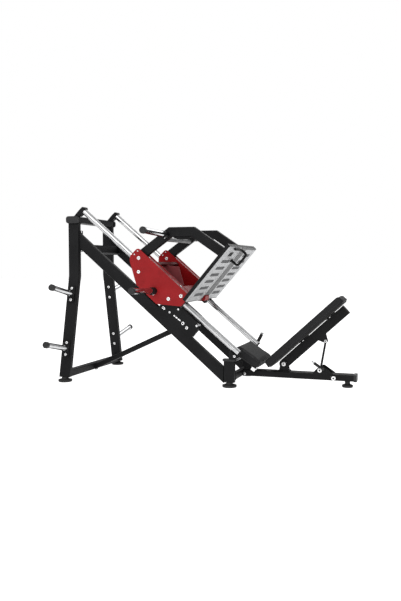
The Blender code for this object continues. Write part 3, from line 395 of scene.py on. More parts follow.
def dress_frame():
    """Plain finishes first, then the tubes with moulded caps and the nodes with two finishes."""
    for made, names in PLAIN_FINISH.items():
        for name in names:
            dress(name, made)
    beam_cap, base_cap, post_cap = 0.0175, 0.0245, 0.0165
    beam_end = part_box("top_crossbeam")[1].y - beam_cap
    dress("top_crossbeam", BLACK, PLASTIC, choose=lambda c: int(abs(c.y) > beam_end))
    tube_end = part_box("base_tube")[1].x - base_cap
    dress("base_tube", BLACK, PLASTIC, choose=lambda c: int(c.x > tube_end))
    for _, word in SIDES:
        post_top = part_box(f"front_post_{word}")[1].z - post_cap
        dress(f"front_post_{word}", BLACK, PLASTIC, choose=lambda c: int(c.z > post_top))
    low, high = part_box("upper_cross_channel")
    lip_top, lip_rear = low.z + 0.017, high.x - 0.0145
    # the lip takes the grey, lighter than the black: painted highlight
    dress("upper_cross_channel", BLACK, GREY_PAINTED_SHADOW_AND_HIGHLIGHT, choose=lambda c: int(c.z < lip_top and c.x > lip_rear))
    handle_crank_y = -0.32
    dress("safety_handle", ZINC, BLACK, choose=lambda c: int(c.y < handle_crank_y))
    # the plate's bent top edge, above this level, takes the dark grey: painted shadow
    plate_top_level = 0.6200
    dress("foot_plate", SILVER, GREY_PAINTED_SHADOW_AND_HIGHLIGHT, choose=lambda c: int((c - ROD_TOP).dot(RAIL_UP) > plate_top_level))
    grip_stop = 0.0855
    dress("adjuster_lever", ZINC, PLASTIC,
          choose=lambda c: int((c - LEVER_PIVOT).dot(LEVER_AXIS) < grip_stop))


def dress_carriage():
    """Red outside, and a darker copy of the red on the inner faces and the tray floor as painted shade. The
    tray's nose is red, its bar a much darker red as painted shade, and its gusset a paler red as painted
    highlight.
    """
    on_face = 0.0002
    for side, word in SIDES:
        dress(f"carriage_side_plate_{word}", RED)
        inner = side * INNER_FACE
        # the inward faces take the darker copy of the red: painted shade
        dress(f"carriage_inner_plate_{word}", RED, RED_PAINTED_SHADE, choose=lambda c: int(abs(c.y - inner) < on_face))

    nose_start, bar_end, bar_level = 1.021, 0.781, 0.045
    gusset_half, gusset_level = 0.0055, -0.031
    nose, gusset, floor, bar = range(4)

    def tray_finish(centre):
        along = (centre - ROD_TOP).dot(RAIL_DOWN)
        level = (centre - ROD_TOP).dot(RAIL_UP)
        if along > nose_start:
            return nose
        # the bar takes the much darker copy of the red: painted shade
        if level > bar_level and along < bar_end and abs(centre.y) > gusset_half:
            return bar
        # the gusset takes the paler red as painted highlight; the floor takes the darker red as painted shade
        return gusset if abs(centre.y) < gusset_half and level > gusset_level else floor

    dress("carriage_cross_plate", RED, RED_PAINTED_HIGHLIGHT, RED_PAINTED_SHADE, BAR_RED_PAINTED_SHADE, choose=tray_finish)


def dress_horns():
    """Each horn has a black plate or collar, a chrome sleeve and a black end cap."""
    cap_length, plate_thick, collar_margin = 0.0305, 0.0085, 0.0025
    collars = {level: length + collar_margin for level, length in WEIGHT_COLLARS.items()}
    plates = dict.fromkeys(WEIGHT_COLLARS, plate_thick)
    for stem, tilt, mount_lengths in (
        ("storage_horn", SPLAY, plates),
        ("weight_horn", WEIGHT_HORN_TILT, collars),
    ):
        for side, word in SIDES:
            axis = Vector((0, side * math.cos(tilt), math.sin(tilt)))
            for level, mount_thick in mount_lengths.items():
                name = f"{stem}_{level}_{word}"
                reach = [vertex.co.dot(axis) for vertex in NODES[name].data.vertices]
                mount_end, cap_start = min(reach) + mount_thick, max(reach) - cap_length

                def finish(centre):
                    place = centre.dot(axis)
                    return 1 if place < mount_end else 2 if place > cap_start else 0

                dress(name, CHROME, BLACK, PLASTIC, choose=finish)


# --- mesh building
CREASE = math.radians(38)  # edges sharper than this aren't smoothed


def placed(name, data):
    """A new object in the scene."""
    obj = bpy.data.objects.new(name, data)
    bpy.context.scene.collection.objects.link(obj)
    return obj


class Shape:
    """Mesh faces gathered in one bmesh, each with a material number."""

    def __init__(self):
        self.mesh = bmesh.new()

    def rings(self, rings, finish=0, closed=False):
        """A skin over rings of points. finish is a number, or one number for each band."""
        loops = [[self.mesh.verts.new(point) for point in ring] for ring in rings]
        pairs = list(zip(loops, loops[1:]))
        if closed:
            pairs.append((loops[-1], loops[0]))
        for number, (first, second) in enumerate(pairs):
            index = finish if isinstance(finish, int) else finish[number]
            for i in range(len(first)):
                j = (i + 1) % len(first)
                self.mesh.faces.new((first[i], first[j], second[j], second[i])).material_index = index
        if not closed:
            for loop, which in ((loops[0][::-1], 0), (loops[-1], -1)):
                face = self.mesh.faces.new(loop)
                face.material_index = finish if isinstance(finish, int) else finish[which]

    def finished(self, name):
        """The mesh's data, with its faces turned out."""
        bmesh.ops.recalc_face_normals(self.mesh, faces=self.mesh.faces)
        data = bpy.data.meshes.new(name)
        self.mesh.to_mesh(data)
        self.mesh.free()
        return data

    def object(self, name, materials, body):
        """Turns the shape into a piece that rides on a body."""
        data = self.finished(name)
        data.shade_smooth()
        data.set_sharp_from_angle(angle=CREASE)
        for made in materials:
            data.materials.append(made)
        obj = placed(name, data)
        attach(obj, body)


def across(axis):
    """Two directions square to the axis and to each other."""
    first = (Y_AXIS if abs(axis.dot(Y_AXIS)) < 0.9 else X_AXIS).cross(axis).normalized()
    return first, axis.cross(first)


def circle(centre, axis, radius, sides, flats=0):
    """A ring of points. With flats, it is a polygon of that many sides, with the same number of points."""
    first, second = across(axis)
    points = []
    for i in range(sides):
        turn = 2 * math.pi * i / sides
        reach = radius
        if flats:
            step = 2 * math.pi / flats
            reach *= math.cos(step / 2) / math.cos((turn % step) - step / 2)
        points.append(centre + reach * (math.cos(turn) * first + math.sin(turn) * second))
    return points


def bolt(shape, spot, axis, head=0.011, washer=0.0165):
    """A button head with a hexagon socket, on a black washer. Its materials are head, washer and socket; the
    socket's near-black is painted shade.
    """
    thick = 0.0022
    profile = [  # radius, height, a polygon's sides or 0, and material
        (washer, 0.0, 0, 1), (washer, thick * 0.7, 0, 1), (washer - 0.0008, thick, 0, 1),
        (head + 0.0005, thick, 0, 0), (head, thick + 0.12 * head, 0, 0),
        (0.96 * head, thick + 0.30 * head, 0, 0), (0.80 * head, thick + 0.46 * head, 0, 0),
        (0.55 * head, thick + 0.54 * head, 0, 0),
        (0.27 * head, thick + 0.57 * head, 6, 2), (0.25 * head, thick + 0.20 * head, 6, 2),
    ]
    rings = [circle(spot + height * axis, axis, radius, 24, flats) for radius, height, flats, _ in profile]
    shape.rings(rings, [row[3] for row in profile[1:]])


def turned(shape, centre, axis, profile, sides=24, finish=0, closed=False):
    """A turned shape. Its profile holds distances along the axis and radii."""
    rings = [circle(centre + d * axis, axis, radius, sides) for d, radius in profile]
    shape.rings(rings, finish, closed)


def spaced(path, spacing):
    """Points about one spacing apart, round a closed path."""
    points = []
    for first, second in zip(path, path[1:] + path[:1]):
        steps = max(1, round((second - first).length / spacing))
        points += [first.lerp(second, step / steps) for step in range(steps)]
    return points


def corner_walk(half_first, half_second, corner, steps):
    """Goes round a rectangle with rounded corners, giving distances from its centre in its two directions."""
    for first_sign, second_sign, start in ((1, 1, 0), (-1, 1, 90), (-1, -1, 180), (1, -1, 270)):
        for step in range(steps + 1):
            turn = math.radians(start + 90 * step / steps)
            x = first_sign * (half_first - corner) + corner * math.cos(turn)
            y = second_sign * (half_second - corner) + corner * math.sin(turn)
            yield x, y


def loop(centre, first, second, half_first, half_second, corner):
    """A ring of points: a rectangle with rounded corners, in the plane of two directions."""
    walk = corner_walk(half_first, half_second, corner, 3)
    return [centre + x * first + y * second for x, y in walk]


def weld(shape, centre, first, second, half_first, half_second, corner=0.008, radius=0.0024):
    """A welded bead round a rectangle with rounded corners, with the ripples of its puddles."""
    spacing, ripple, wander, wander_scale = 0.0034, 0.13, 0.18, 90
    points = spaced(loop(centre, first, second, half_first, half_second, corner), spacing)
    rings = []
    for i, point in enumerate(points):
        axis = (points[(i + 1) % len(points)] - points[i - 1]).normalized()
        size = radius * (1.0 + ripple * (i % 2) + wander * noise.noise(point * wander_scale))
        rings.append(circle(point, axis, size, 7))
    shape.rings(rings, closed=True)


def block(shape, centre, first, second, third, halves, corner, finish=0):
    """A block with rounded corners in its first two directions and softened rims in its third."""
    soft, least_corner = 0.0008, 0.0004
    a, b, c = halves
    levels = ((-c, soft), (-c + soft, 0), (c - soft, 0), (c, soft))
    rings = [
        loop(centre + level * third, first, second, a - inset, b - inset, max(corner - inset, least_corner))
        for level, inset in levels
    ]
    shape.rings(rings, finish)


def capsule(shape, start, stop, radius, finish=0, sides=16):
    """A rod with round ends."""
    axis = (stop - start).normalized()
    bands, least_radius = 4, 2e-4
    rings = []
    for centre, sign, steps in ((start, -1, range(bands, -1, -1)), (stop, 1, range(bands + 1))):
        for step in steps:
            turn = math.pi / 2 * step / bands
            reach = sign * radius * math.sin(turn)
            size = max(radius * math.cos(turn), least_radius)
            rings.append(circle(centre + reach * axis, axis, size, sides))
    shape.rings(rings, finish)


# --- bolts
BOLT_FINISH = [BOLT_ZINC, GASKET, HOLE_BLACK]
# Places along and square to the rails, and for the stop bracket the head's radius as well.
PLATE_BOLTS = ((0.654, 0.0345), (0.727, -0.054), (1.071, -0.051), (1.138, 0.038))
PLATE_SCREWS = ((0.611, 0.073), (0.606, 0.033))
STOP_BOLTS = (
    (1.076, -0.143, 0.0085), (1.086, -0.143, 0.0085), (1.143, -0.135, 0.006), (1.185, -0.067, 0.005),
    (1.289, -0.127, 0.0115), (1.337, -0.133, 0.010),
)
ADJUSTER_BOLTS = ((2.070, 0.133), (2.181, 0.075))  # X and Z from the rear uprights
STORAGE_HORN_HEIGHTS = (0.727, 0.270)


def carriage_bolts():
    """Bolts of the side plates, bearing housings and tray, and a screw in each plate horn's collar."""
    shape = Shape()
    sizes = (  # head and washer, on the outer and on the inner face
        (PLATE_BOLTS, (0.0100, 0.0150), (0.0090, 0.0140)),
        (PLATE_SCREWS, (0.0052, 0.0066), (0.0052, 0.0066)),
    )
    for side, _ in SIDES:
        outward = side * Y_AXIS
        for spots, outer, inner in sizes:
            for along, level in spots:
                bolt(shape, rail(along, level, side * OUTER_FACE), outward, *outer)
                bolt(shape, rail(along, level, side * INNER_FACE), -outward, *inner)
        housing_top = 0.086
        for along, size in ((0.712, 0.0060), (1.077, 0.0095)):
            bolt(shape, rail(along, housing_top, side * ROD_Y), RAIL_UP, size, size + 0.0025)
        tray_edge_level, tray_edge_y = 0.0430, 0.292
        for along in (1.085, 1.130, 1.165):
            bolt(shape, rail(along, tray_edge_level, side * tray_edge_y), RAIL_UP, 0.0050, 0.0068)
        collars = ((machine(0.850, 0, 1.228), 0.3283, "upper"), (rail(0.932, -0.086), 0.3578, "lower"))
        radial, screw_inset = Vector((0.5, 0, -math.sqrt(0.75))), 0.012
        for centre, face, level in collars:
            reach = side * (face + WEIGHT_COLLARS[level] - screw_inset)
            bolt(shape, centre + WEIGHT_COLLAR_RADIUS * radial + reach * Y_AXIS, radial, 0.0055, 0.0068)
    shape.object("carriage_bolts", BOLT_FINISH, "carriage")


def frame_bolts():
    """Bolts of the stop bracket, the brackets, the adjuster, the storage horns and the beams' flanges."""
    shape = Shape()
    for along, level, size in STOP_BOLTS:
        bolt(shape, rail(along, level, STOP_FACE), -Y_AXIS, size, size + 0.003)
    catch_pivot = joint_place("safety_catch_turn")
    bolt(shape, Vector((catch_pivot.x, STOP_FACE, catch_pivot.z)), -Y_AXIS, 0.0065, 0.0095)
    pivot_bolt_y, bolt_gap, horn_plate_face, tube_face, flange_x = 0.0336, 0.050, 0.0335, 0.0250, 0.0565
    for side, _ in SIDES:
        outward = side * Y_AXIS
        bolt(shape, rail(1.785, -0.037, side * -BRACKET_FACE), outward, 0.0075, 0.0105)
        bolt(shape, machine(1.446, side * BASE_FACE, 0.072), outward, 0.0075, 0.0105)
        bolt(shape, Vector((BACK_PIVOT.x, side * pivot_bolt_y, BACK_PIVOT.z)), outward, 0.0135, 0.0175)
        for x, z in ADJUSTER_BOLTS:
            bolt(shape, machine(x, side * ADJUSTER_BOLT_FACE, z), outward, 0.0130, 0.0180)
        for height in STORAGE_HORN_HEIGHTS:
            up = Vector((0, -side * math.sin(SPLAY), math.cos(SPLAY)))
            out = Vector((0, side * math.cos(SPLAY), math.sin(SPLAY)))
            middle = machine(0, side * upright_y(height), height)
            for sign in (-1, 1):
                spot = middle + sign * bolt_gap * up
                bolt(shape, spot + horn_plate_face * out, out, 0.0080, 0.0115)
                bolt(shape, spot - tube_face * out, -out, 0.0085, 0.0125)
        for z in (1.264, 1.108):
            bolt(shape, machine(flange_x, side * BEAM_Y, z), X_AXIS, 0.0065, 0.0090)
    bolt(shape, machine(0.030, 0.054, 0.046), X_AXIS, 0.0080, 0.0110)
    shape.object("frame_bolts", BOLT_FINISH, "frame")


def backrest_bolts():
    """The strut's upper pin, and the screws from the pad mounts into the board."""
    shape = Shape()
    pin_face, screw_y, mount_underside = 0.0195, 0.085, 0.0400
    for side, _ in SIDES:
        bolt(shape, Vector((STRUT_PIN.x, side * pin_face, STRUT_PIN.z)), side * Y_AXIS, 0.0105, 0.0125)
        for along in (0.262, 0.550):
            spot = BACK_PIVOT + along * BACK_ALONG + mount_underside * BACK_OUT + side * screw_y * Y_AXIS
            bolt(shape, spot, -BACK_OUT, 0.0065, 0.0095)
    shape.object("backrest_bolts", BOLT_FINISH, "backrest")


# --- hard details
def foot_plate_details():
    """Inlays in two columns, a socket, the channel with its raised borders, a dark grey strip under the bent
    top edge that is painted shadow, and a thin black line near the bottom.
    """
    def panel(level, y, lift, halves, corner, finish=0):
        """A thin block on the plate's face. Its halves are across, up and out."""
        centre = rail(PLATE_FACE + lift, level, y)
        block(shape, centre, Y_AXIS, RAIL_UP, RAIL_DOWN, halves, corner, finish)

    shape = Shape()
    rows, first_level, pitch, column = 7, 0.117, 0.0708, 0.234
    for side in (-1, 1):
        for row in range(rows if side > 0 else rows - 1):
            panel(first_level + row * pitch, side * column, 0.0008, (0.1020, 0.0150, 0.0010), 0.006)
    shape.object("foot_plate_inlays", [INLAY], "carriage")

    shape = Shape()
    panel(first_level + (rows - 1) * pitch + 0.004, -0.250, 0.0006, (0.046, 0.0205, 0.0008), 0.004)
    shape.object("foot_plate_socket", [HOLE_BLACK], "carriage")

    shape = Shape()
    low, high, half, channel_y, rim_offset = 0.062, 0.600, 0.082, 0.012, 0.004
    middle, half_height = (low + high) / 2, (high - low) / 2
    panel(middle, channel_y, 0.0006, (half, half_height, 0.0007), 0.004)
    for sign in (-1, 1):
        rim_y = channel_y + sign * (half + rim_offset)
        panel(middle, rim_y, 0.0012, (0.0042, half_height, 0.0014), 0.002, finish=1)
    shape.object("foot_plate_channel", [CHANNEL_GREY, SILVER_EDGE], "carriage")

    shape = Shape()
    # a dark grey strip under the top edge: painted shadow of the bent flange; below, a thin black line near
    # the bottom
    panel(0.6125, 0.165, 0.0008, (0.238, 0.0080, 0.0012), 0.003)
    panel(0.0440, 0.0, 0.0006, (0.410, 0.0028, 0.0008), 0.002, finish=1)
    shape.object("foot_plate_dark_strips", [GREY_PAINTED_SHADOW_AND_HIGHLIGHT, BLACK], "carriage")


def carriage_details():
    """Bearing seals, a rib on each cover, the loop handle's collar and the carriage tubes' welds."""
    shape = Shape()
    gap = 0.0002
    profile = (
        (0.0262, 0.0), (0.0330, 0.0), (0.0340, 0.0012), (0.0330, 0.0042), (0.0285, 0.0052), (0.0262, 0.0046),
    )
    housing_ends = ((0.620, -1), (0.765, 1), (1.055, -1), (1.190, 1))
    for side, _ in SIDES:
        for along, sign in housing_ends:
            rings = [
                circle(rail(along + sign * (gap + d), 0, side * ROD_Y), RAIL_DOWN, r, 28)
                for r, d in profile
            ]
            shape.rings(rings, closed=True)
    shape.object("bearing_seals", [RUBBER], "carriage")

    shape = Shape()
    for side, _ in SIDES:
        centre = rail(0.976, 0.0872, side * (ROD_Y - 0.028))
        block(shape, centre, RAIL_DOWN, Y_AXIS, RAIL_UP, (0.0620, 0.0035, 0.0014), 0.003)
    # the ribs take the paler red: a painted highlight along each cover
    shape.object("cover_ribs", [RED_PAINTED_HIGHLIGHT], "carriage")

    shape = Shape()
    profile = ((0.0002, 0.0200), (0.0024, 0.0200), (0.0038, 0.0180), (0.0042, 0.0110), (0.0004, 0.0110))
    turned(shape, rail(PLATE_FACE, 0.484, -0.095), RAIL_DOWN, profile, closed=True)
    shape.object("loop_handle_collar", [BLACK], "carriage")

    shape = Shape()
    for side, _ in SIDES:
        y = side * CARRIAGE_TUBE_Y
        weld(shape, rail(0.639, 0.0440, y), RAIL_DOWN, Y_AXIS, 0.052, TUBE_HALF)
        weld(shape, rail(1.1806, 0.526, y), RAIL_UP, Y_AXIS, 0.042, TUBE_HALF, 0.009)
    shape.object("carriage_welds", [BLACK], "carriage")


def frame_welds():
    """Welds of the beams' flanges, the uprights' tops, the cross tubes, the brace and the base tube."""
    shape = Shape()
    flange_thick, tube_face, stop_tube_face = 0.0075, 0.0262, 0.2735
    for side, word in SIDES:
        flange = Vector((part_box(f"slanted_beam_{word}")[0].x + flange_thick, side * BEAM_Y, 1.178))
        weld(shape, flange, Z_AXIS, Y_AXIS, 0.0640, TUBE_HALF, 0.009, 0.0026)
        rear_cross = machine(0, side * (upright_y(0.063) - tube_face), 0.063)
        up = Vector((0, -side * math.sin(SPLAY), math.cos(SPLAY)))
        weld(shape, rear_cross, X_AXIS, up, 0.0305, 0.0312)
        front_cross = machine(1.404, side * (POST_Y - tube_face), 0.0805)
        weld(shape, front_cross, X_AXIS, Z_AXIS, 0.0265, 0.0270)
        beam_cross = rail(1.243, -0.219, side * stop_tube_face)
        weld(shape, beam_cross, RAIL_DOWN, RAIL_UP, 0.0305, 0.0305)
        upright_top = machine(0, side * UPRIGHT_TOP_Y, 1.3392)
        weld(shape, upright_top, X_AXIS, Y_AXIS, 0.0505, TUBE_HALF, 0.009)
    weld(shape, machine(0.0315, 0, 0.0580), Z_AXIS, Y_AXIS, 0.0290, 0.0230)
    weld(shape, machine(1.4315, 0, 0.0805), Z_AXIS, Y_AXIS, 0.0270, 0.0505, 0.009)
    shape.object("frame_welds", [BLACK], "frame")


def back_tube_cap():
    """The moulded cap in the backrest tube's upper end."""
    shape = Shape()
    tube_length = 0.676
    end = BACK_PIVOT + tube_length * BACK_ALONG
    profile = ((0.0004, 0.0255, 0.0405, 0.006), (0.0026, 0.0262, 0.0412, 0.007),
               (0.0046, 0.0255, 0.0405, 0.007), (0.0060, 0.0220, 0.0370, 0.006))
    shape.rings([loop(end + d * BACK_ALONG, Y_AXIS, BACK_OUT, a, b, corner) for d, a, b, corner in profile])
    shape.object("back_tube_cap", [PLASTIC], "backrest")


def safety_handle_details():
    """The cross bar on the lever's tip, and raised rings on its grip."""
    low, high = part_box("safety_handle_grip")
    y = (low.y + high.y) / 2
    knee, tip = machine(1.452, y, 0.285), machine(1.497, y, 0.372)
    axis = (tip - knee).normalized()
    shape = Shape()
    end, bar_half = tip + 0.0045 * axis, 0.015
    capsule(shape, end - bar_half * X_AXIS, end + bar_half * X_AXIS, 0.0055)
    shape.object("safety_handle_bar", [CHROME], "safety_handle")
    shape = Shape()
    ribs, first_rib, pitch = 8, 0.024, 0.0080
    profile = ((-0.0020, 0.0143), (-0.0012, 0.0155), (0.0012, 0.0155), (0.0020, 0.0143))
    for number in range(ribs):
        turned(shape, knee + (first_rib + pitch * number) * axis, axis, profile)
    shape.object("safety_handle_ribs", [RUBBER], "safety_handle")


def adjuster_lever_details():
    """A ribbed sleeve over the lever's grip, and a plated knob on its tip."""
    bar_radius = 0.0055
    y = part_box("adjuster_lever")[0].y + bar_radius
    start, tip = LEVER_START + y * Y_AXIS, LEVER_TIP + y * Y_AXIS
    shape = Shape()
    ribs, first_rib, pitch = 10, 0.0230, 0.0063
    rib_profile = ((0.0, 0.0112), (0.0010, 0.0124), (0.0040, 0.0124), (0.0050, 0.0112))
    profile = [(first_rib + pitch * rib + d, radius) for rib in range(ribs) for d, radius in rib_profile]
    turned(shape, start, LEVER_AXIS, profile)
    shape.object("adjuster_lever_grip", [PLASTIC], "adjuster_lever")
    shape = Shape()
    capsule(shape, tip - 0.020 * LEVER_AXIS, tip - 0.006 * LEVER_AXIS, 0.0075)
    shape.object("adjuster_lever_knob", [CHROME], "adjuster_lever")


def stop_details():
    """The plunger rod with two dark collars that shows in the stop plate's slot, and a near-black patch over
    the slot as painted shade.
    """
    shape = Shape()
    start, stop = rail(1.190, -0.1285, STOP_FACE), rail(1.257, -0.1250, STOP_FACE)
    axis = (stop - start).normalized()
    middle, slot_lift = (start + stop) / 2, 0.0006 * Y_AXIS
    slot_halves = ((stop - start).length / 2 + 0.006, 0.0095, 0.0008)
    # a near-black patch on the stop plate's face: painted shade of the slot
    block(shape, middle - slot_lift, axis, axis.cross(Y_AXIS), -Y_AXIS, slot_halves, 0.009, finish=1)
    rod_lift = 0.0040 * Y_AXIS
    capsule(shape, start - rod_lift, stop - rod_lift, 0.0052)
    collar = ((-0.003, 0.0056), (-0.002, 0.0072), (0.002, 0.0072), (0.003, 0.0056))
    for share in (0.25, 0.62):
        turned(shape, start.lerp(stop, share) - rod_lift, axis, collar, 16, finish=1)
    shape.object("stop_plunger", [BOLT_ZINC, HOLE_BLACK], "frame")


def seat_brackets():
    """Plated corner brackets under the seat's rear corners: a foot with a rear lip and an outer lip."""
    shape = Shape()
    for side, _ in SIDES:
        centre = SEAT_FRONT + 0.2135 * SEAT_BACK - 0.0745 * SEAT_UP + side * 0.192 * Y_AXIS
        block(shape, centre, SEAT_BACK, Y_AXIS, SEAT_UP, (0.0170, 0.0240, 0.0020), 0.004)
        rear_lip = centre + 0.0170 * SEAT_BACK + 0.0120 * SEAT_UP
        block(shape, rear_lip, Y_AXIS, SEAT_UP, SEAT_BACK, (0.0240, 0.0140, 0.0020), 0.004)
        outer_lip = centre + side * 0.0235 * Y_AXIS - 0.0080 * SEAT_UP
        block(shape, outer_lip, SEAT_BACK, SEAT_UP, Y_AXIS, (0.0175, 0.0130, 0.0020), 0.004)
    shape.object("seat_corner_brackets", [BOLT_ZINC], "frame")


# --- pads
def pad_shell(name, origin, along, up, low, high, half_width, bottom, top, corner, crown):
    """A pad's first shape: a slab with rounded corners, a flat back and a slightly crowned face."""
    middle, half_length = (low + high) / 2, (high - low) / 2
    corner_steps, least_corner = 10, 0.012
    levels = [(bottom, 0.003), (bottom + 0.004, 0.0), (top - 0.011, 0.0), (top - 0.004, 0.002), (top, 0.008)]
    levels += [(top + crown * 0.5, 0.035), (top + crown * 0.8, 0.080)]
    rings = []
    for level, inset in levels:
        rounding = max(corner - inset, least_corner)
        walk = corner_walk(half_length - inset, half_width - inset, rounding, corner_steps)
        rings.append([origin + (middle + x) * along + level * up + y * Y_AXIS for x, y in walk])
    shape = Shape()
    shape.rings(rings)
    return placed(name, shape.finished(name))


def apply_modifiers(obj):
    """Bakes the object's modifiers, and the cloth's last frame, into its mesh."""
    graph = bpy.context.evaluated_depsgraph_get()
    made = bpy.data.meshes.new_from_object(obj.evaluated_get(graph))
    obj.modifiers.clear()
    obj.data = made


def inflate(obj, origin, up, bottom):
    """Swells the pad with a short cloth simulation. Its back stays flat, and no point moves past the cap."""
    frames, back_layer, cap = 20, 0.004, 0.005
    remesh = obj.modifiers.new("voxels", "REMESH")
    remesh.mode = "VOXEL"
    remesh.voxel_size = 0.006
    apply_modifiers(obj)
    rest = [vertex.co.copy() for vertex in obj.data.vertices]
    held = obj.vertex_groups.new(name="held")
    for index, point in enumerate(rest):
        if (point - origin).dot(up) - bottom < back_layer:
            held.add([index], 1.0, "REPLACE")
    cloth = obj.modifiers.new("cloth", "CLOTH")
    settings = cloth.settings
    settings.quality = 5
    settings.mass = 0.3
    settings.use_pressure = True
    settings.uniform_pressure_force = 3.0
    settings.tension_stiffness = 20
    settings.compression_stiffness = 20
    settings.shear_stiffness = 10
    settings.bending_stiffness = 1.5
    settings.vertex_group_mass = "held"
    settings.effector_weights.gravity = 0
    cloth.collision_settings.use_collision = False
    cloth.point_cache.frame_start = 1
    cloth.point_cache.frame_end = frames
    scene = bpy.context.scene
    for number in range(1, frames + 1):
        scene.frame_set(number)
    apply_modifiers(obj)
    for vertex, start in zip(obj.data.vertices, rest):
        moved = vertex.co - start
        if moved.length > cap:
            vertex.co = start + moved.normalized() * cap
    scene.frame_set(1)
    obj.vertex_groups.clear()


def smooth_pad(obj):
    """Relaxes the voxels' steps and makes the mesh finer."""
    relax = obj.modifiers.new("relax", "SMOOTH")
    relax.factor = 0.5
    relax.iterations = 3
    finer = obj.modifiers.new("finer", "SUBSURF")
    finer.levels = finer.render_levels = 1
    apply_modifiers(obj)
    obj.data.shade_smooth()


def keep_inside(obj, origin, along, up, limits):
    """Holds every point inside the limits along the pad, across it and square to it."""
    (a_low, a_high), half, (c_low, c_high) = limits
    for vertex in obj.data.vertices:
        offset = vertex.co - origin
        a = min(max(offset.dot(along), a_low), a_high)
        b = min(max(offset.y, -half), half)
        c = min(max(offset.dot(up), c_low), c_high)
        vertex.co = origin + a * along + b * Y_AXIS + c * up


def upholster(pad, origin, along, up, underside, limits):
    """Swells, smooths and trims a cushion, and covers it."""
    inflate(pad, origin, up, underside)
    smooth_pad(pad)
    keep_inside(pad, origin, along, up, limits)
    pad.data.materials.clear()
    pad.data.materials.append(VINYL)


def seam_path(obj, origin, along, up, low, high, half, level, spacing):
    """Points on the pad's side, at one level, found by rays from an outline round it."""
    corner = 0.040
    tree = BVHTree.FromObject(obj, bpy.context.evaluated_depsgraph_get())
    middle, half_length, clear = origin + (low + high) / 2 * along + level * up, (high - low) / 2, 0.04
    outline = loop(middle, along, Y_AXIS, half_length + clear, half + clear, corner + clear)
    points = []
    spine = max(0.0, half_length - half)
    for point in spaced(outline, spacing):
        offset = (point - middle).dot(along)
        target = middle + max(-spine, min(spine, offset)) * along
        hit = tree.ray_cast(point, (target - point).normalized())[0]
        if hit is not None:
            points.append(hit)
    return points


def seam(name, obj, body, place, low, high, half, level):
    """A piped seam round the pad, with a row of stitches beside it."""
    piping, thread, stitch_offset, longest_step = 0.0021, 0.00055, 0.006, 0.02
    path = seam_path(obj, *place, low, high, half, level, 0.006)
    shape = Shape()
    rings = []
    for i, point in enumerate(path):
        axis = (path[(i + 1) % len(path)] - path[i - 1]).normalized()
        rings.append(circle(point, axis, piping, 8))
    shape.rings(rings, closed=True)
    stitched = seam_path(obj, *place, low, high, half, level + stitch_offset, 0.0065)
    for i, point in enumerate(stitched):
        step = stitched[(i + 1) % len(stitched)] - point
        if step.length <= longest_step:
            capsule(shape, point + 0.18 * step, point + 0.72 * step, thread, 1, 6)
    shape.object(name, [VINYL, THREAD], body)


def pads():
    """The backrest and the seat: a board, a simulated cushion on it, and its seams."""
    board_corner, board_half_thick, crown = 0.034, 0.0030, 0.004

    low, high, underside, face = -0.092, 0.720, 0.0545, 0.111
    board = Shape()
    centre = BACK_PIVOT + (low + high) / 2 * BACK_ALONG + 0.0512 * BACK_OUT
    halves = ((high - low) / 2 - 0.010, 0.140, board_half_thick)
    block(board, centre, BACK_ALONG, Y_AXIS, BACK_OUT, halves, board_corner)
    board.object("back_pad_board", [BOARD], "backrest")
    place = (BACK_PIVOT, BACK_ALONG, BACK_OUT)
    back = pad_shell("back_cushion", *place, low - 0.001, high + 0.002, 0.149, underside, face, 0.026, crown)
    upholster(back, *place, underside, ((low - 0.006, high + 0.006), 0.154, (underside, 0.1195)))
    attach(back, "backrest")
    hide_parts("back_pad")
    seam("back_cushion_seam", back, "backrest", place, low, high, 0.150, 0.066)

    length, underside, face = 0.231, -0.0630, -0.003
    board = Shape()
    centre = SEAT_FRONT + length / 2 * SEAT_BACK - 0.0664 * SEAT_UP
    halves = (length / 2 - 0.010, 0.206, board_half_thick)
    block(board, centre, SEAT_BACK, Y_AXIS, SEAT_UP, halves, board_corner)
    board.object("seat_board", [BOARD], "frame")
    place = (SEAT_FRONT, SEAT_BACK, SEAT_UP)
    seat = pad_shell("seat_cushion", *place, -0.001, length + 0.002, 0.217, underside, face, 0.020, crown)
    upholster(seat, *place, underside, ((-0.004, length + 0.005), 0.220, (underside, 0.006)))
    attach(seat, "frame")
    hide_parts("seat_pad")
    seam("seat_cushion_seam", seat, "frame", place, 0.0, length, 0.216, -0.014)


# --- studio
def look_at(obj, spot, target):
    """Puts a lamp or camera at a spot, facing the target."""
    obj.location = spot
    obj.rotation_mode = "QUATERNION"
    obj.rotation_quaternion = (target - spot).to_track_quat("-Z", "Y")


def softbox(name, offset, width, height, power):
    """A soft light, placed from the machine's middle and facing it."""
    centre = (CAD_LOW + CAD_HIGH) / 2
    light = bpy.data.lights.new(name, "AREA")
    light.shape = "RECTANGLE"
    light.size, light.size_y = width, height
    light.energy = power
    look_at(placed(name, light), centre + Vector(offset), centre)


